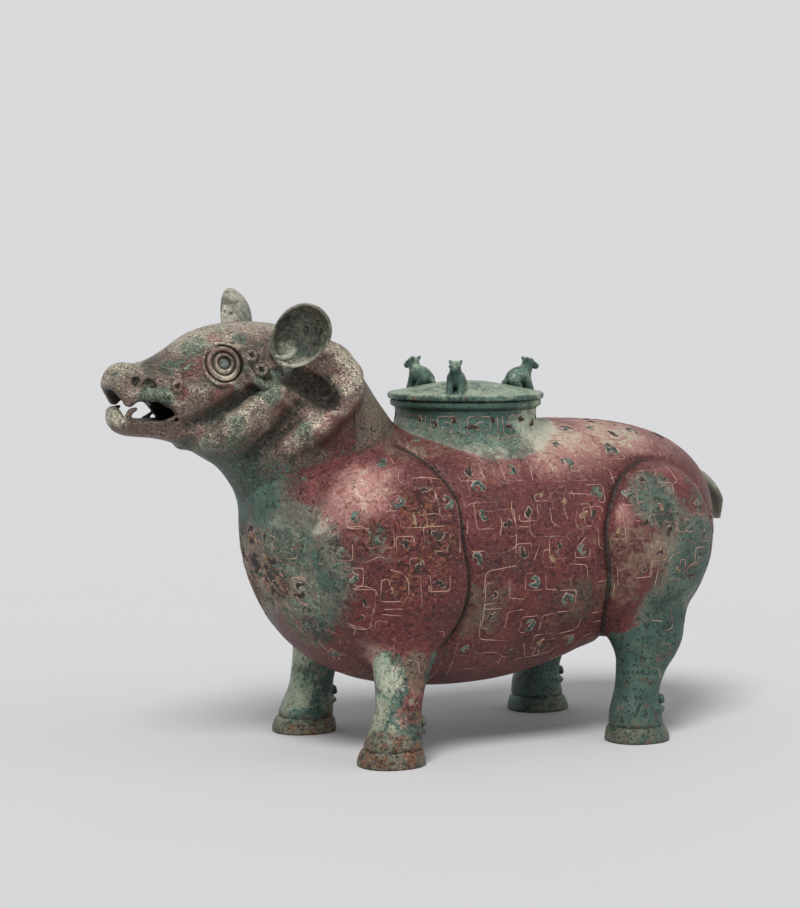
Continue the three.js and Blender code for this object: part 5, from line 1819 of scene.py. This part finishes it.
class VESSEL_OT_stage(bpy.types.Operator):
    """Lays the floor, hangs the lamps and sets the camera"""
    bl_idname = "vessel.stage"
    bl_label = "Stage"

    def execute(self, context):
        stage = context.scene.vessel_stage
        scene = context.scene
        scene.view_settings.view_transform = "Standard"
        camera = linked("camera", bpy.data.cameras.new("camera"))
        camera.data.lens = stage.lens
        camera.data.sensor_width = 36
        camera.data.clip_end = 50
        camera.location = CAMERA_PLACE
        turn, dip = CAMERA_TURN, math.atan2(CAMERA_DIP, CAMERA_DEPTH)
        ahead = Vector((-math.sin(turn) * math.cos(dip), math.cos(turn) * math.cos(dip), -math.sin(dip)))
        aside = Vector((math.cos(turn), math.sin(turn), 0))
        aim = ahead - aside * CAMERA_ASIDE / CAMERA_DEPTH
        camera.rotation_euler = aim.to_track_quat("-Z", "Y").to_euler()
        scene.camera = camera

        floor = bpy.data.meshes.new("floor")
        corners = [(x * FLOOR_HALF, y * FLOOR_HALF, 0) for x, y in ((-1, -1), (1, -1), (1, 1), (-1, 1))]
        floor.from_pydata(corners, [], [(0, 1, 2, 3)])
        ground = linked("floor", floor)
        paint = Finish("floor_paint")
        drift = paint.noise(paint.node("ShaderNodeTexCoord", output="Object"), 3.0, 3, 0.5)
        tone = paint.mix(drift, shade("cfcfd0"), shade("d1d1d2"))
        floor.materials.append(paint.finished(Base_Color=tone, Roughness=0.85))

        for name, direction, spread, strength in (
                ("key", (0.50, 0.62, -1.0), 22, stage.key_power),
                ("fill", (-0.9, 0.8, -0.6), 60, stage.fill_power)):
            lamp = linked(name, bpy.data.lights.new(name, "SUN"))
            lamp.data.angle = math.radians(spread)
            lamp.data.energy = strength
            lamp.rotation_euler = Vector(direction).to_track_quat("-Z", "Y").to_euler()

        world = bpy.data.worlds.new("sky")
        world.use_nodes = True
        sky = Tree(world.node_tree)
        rays = [sky.node("ShaderNodeLightPath", output=f"Is {kind} Ray")
                for kind in ("Camera", "Glossy", "Transmission")]
        straight = rays[0].maths("MAXIMUM", rays[1]).maths("MAXIMUM", rays[2])
        light = sky.node("ShaderNodeBackground", (0.97, 0.98, 1.0, 1), stage.sky)
        seen = sky.node("ShaderNodeBackground", shade("d9d9db"), 1.0)
        sky.end("ShaderNodeOutputWorld", sky.node("ShaderNodeMixShader", straight, light, seen))
        scene.world = world
        return {"FINISHED"}


OPERATORS = (
    VESSEL_OT_stage, VESSEL_OT_body, VESSEL_OT_head, VESSEL_OT_ears, VESSEL_OT_eyes, VESSEL_OT_legs,
    VESSEL_OT_cores, VESSEL_OT_tail, VESSEL_OT_collar, VESSEL_OT_lid, VESSEL_OT_lid_beasts,
    VESSEL_OT_inlay_lines, VESSEL_OT_inlay_cells,
)


class VESSEL_PT_panel(bpy.types.Panel):
    """Lists the vessel's pieces and their sizes"""
    bl_idname = "VESSEL_PT_panel"
    bl_label = "Bronze Animal Vessel"
    bl_space_type = "VIEW_3D"
    bl_region_type = "UI"
    bl_category = "Vessel"

    def draw(self, context):
        layout = self.layout
        for operator in OPERATORS:
            layout.operator(operator.bl_idname)
        for name in ("vessel_sizes", "vessel_patina", "vessel_inlay", "vessel_stage"):
            group = getattr(context.scene, name)
            box = layout.box()
            for key in group.__annotations__:
                box.prop(group, key)


GROUPS = {"vessel_sizes": VesselSizes, "vessel_patina": VesselPatina, "vessel_inlay": VesselInlay,
          "vessel_stage": VesselStage}


def register():
    for one in (*GROUPS.values(), *OPERATORS, VESSEL_PT_panel):
        bpy.utils.register_class(one)
    for name, group in GROUPS.items():
        setattr(bpy.types.Scene, name, bpy.props.PointerProperty(type=group))


def unregister():
    for name in GROUPS:
        delattr(bpy.types.Scene, name)
    for one in reversed((*GROUPS.values(), *OPERATORS, VESSEL_PT_panel)):
        bpy.utils.unregister_class(one)


def main():
    register()
    for operator in OPERATORS:
        group, name = operator.bl_idname.split(".")
        getattr(getattr(bpy.ops, group), name)()


if __name__ == "__main__":
    main()
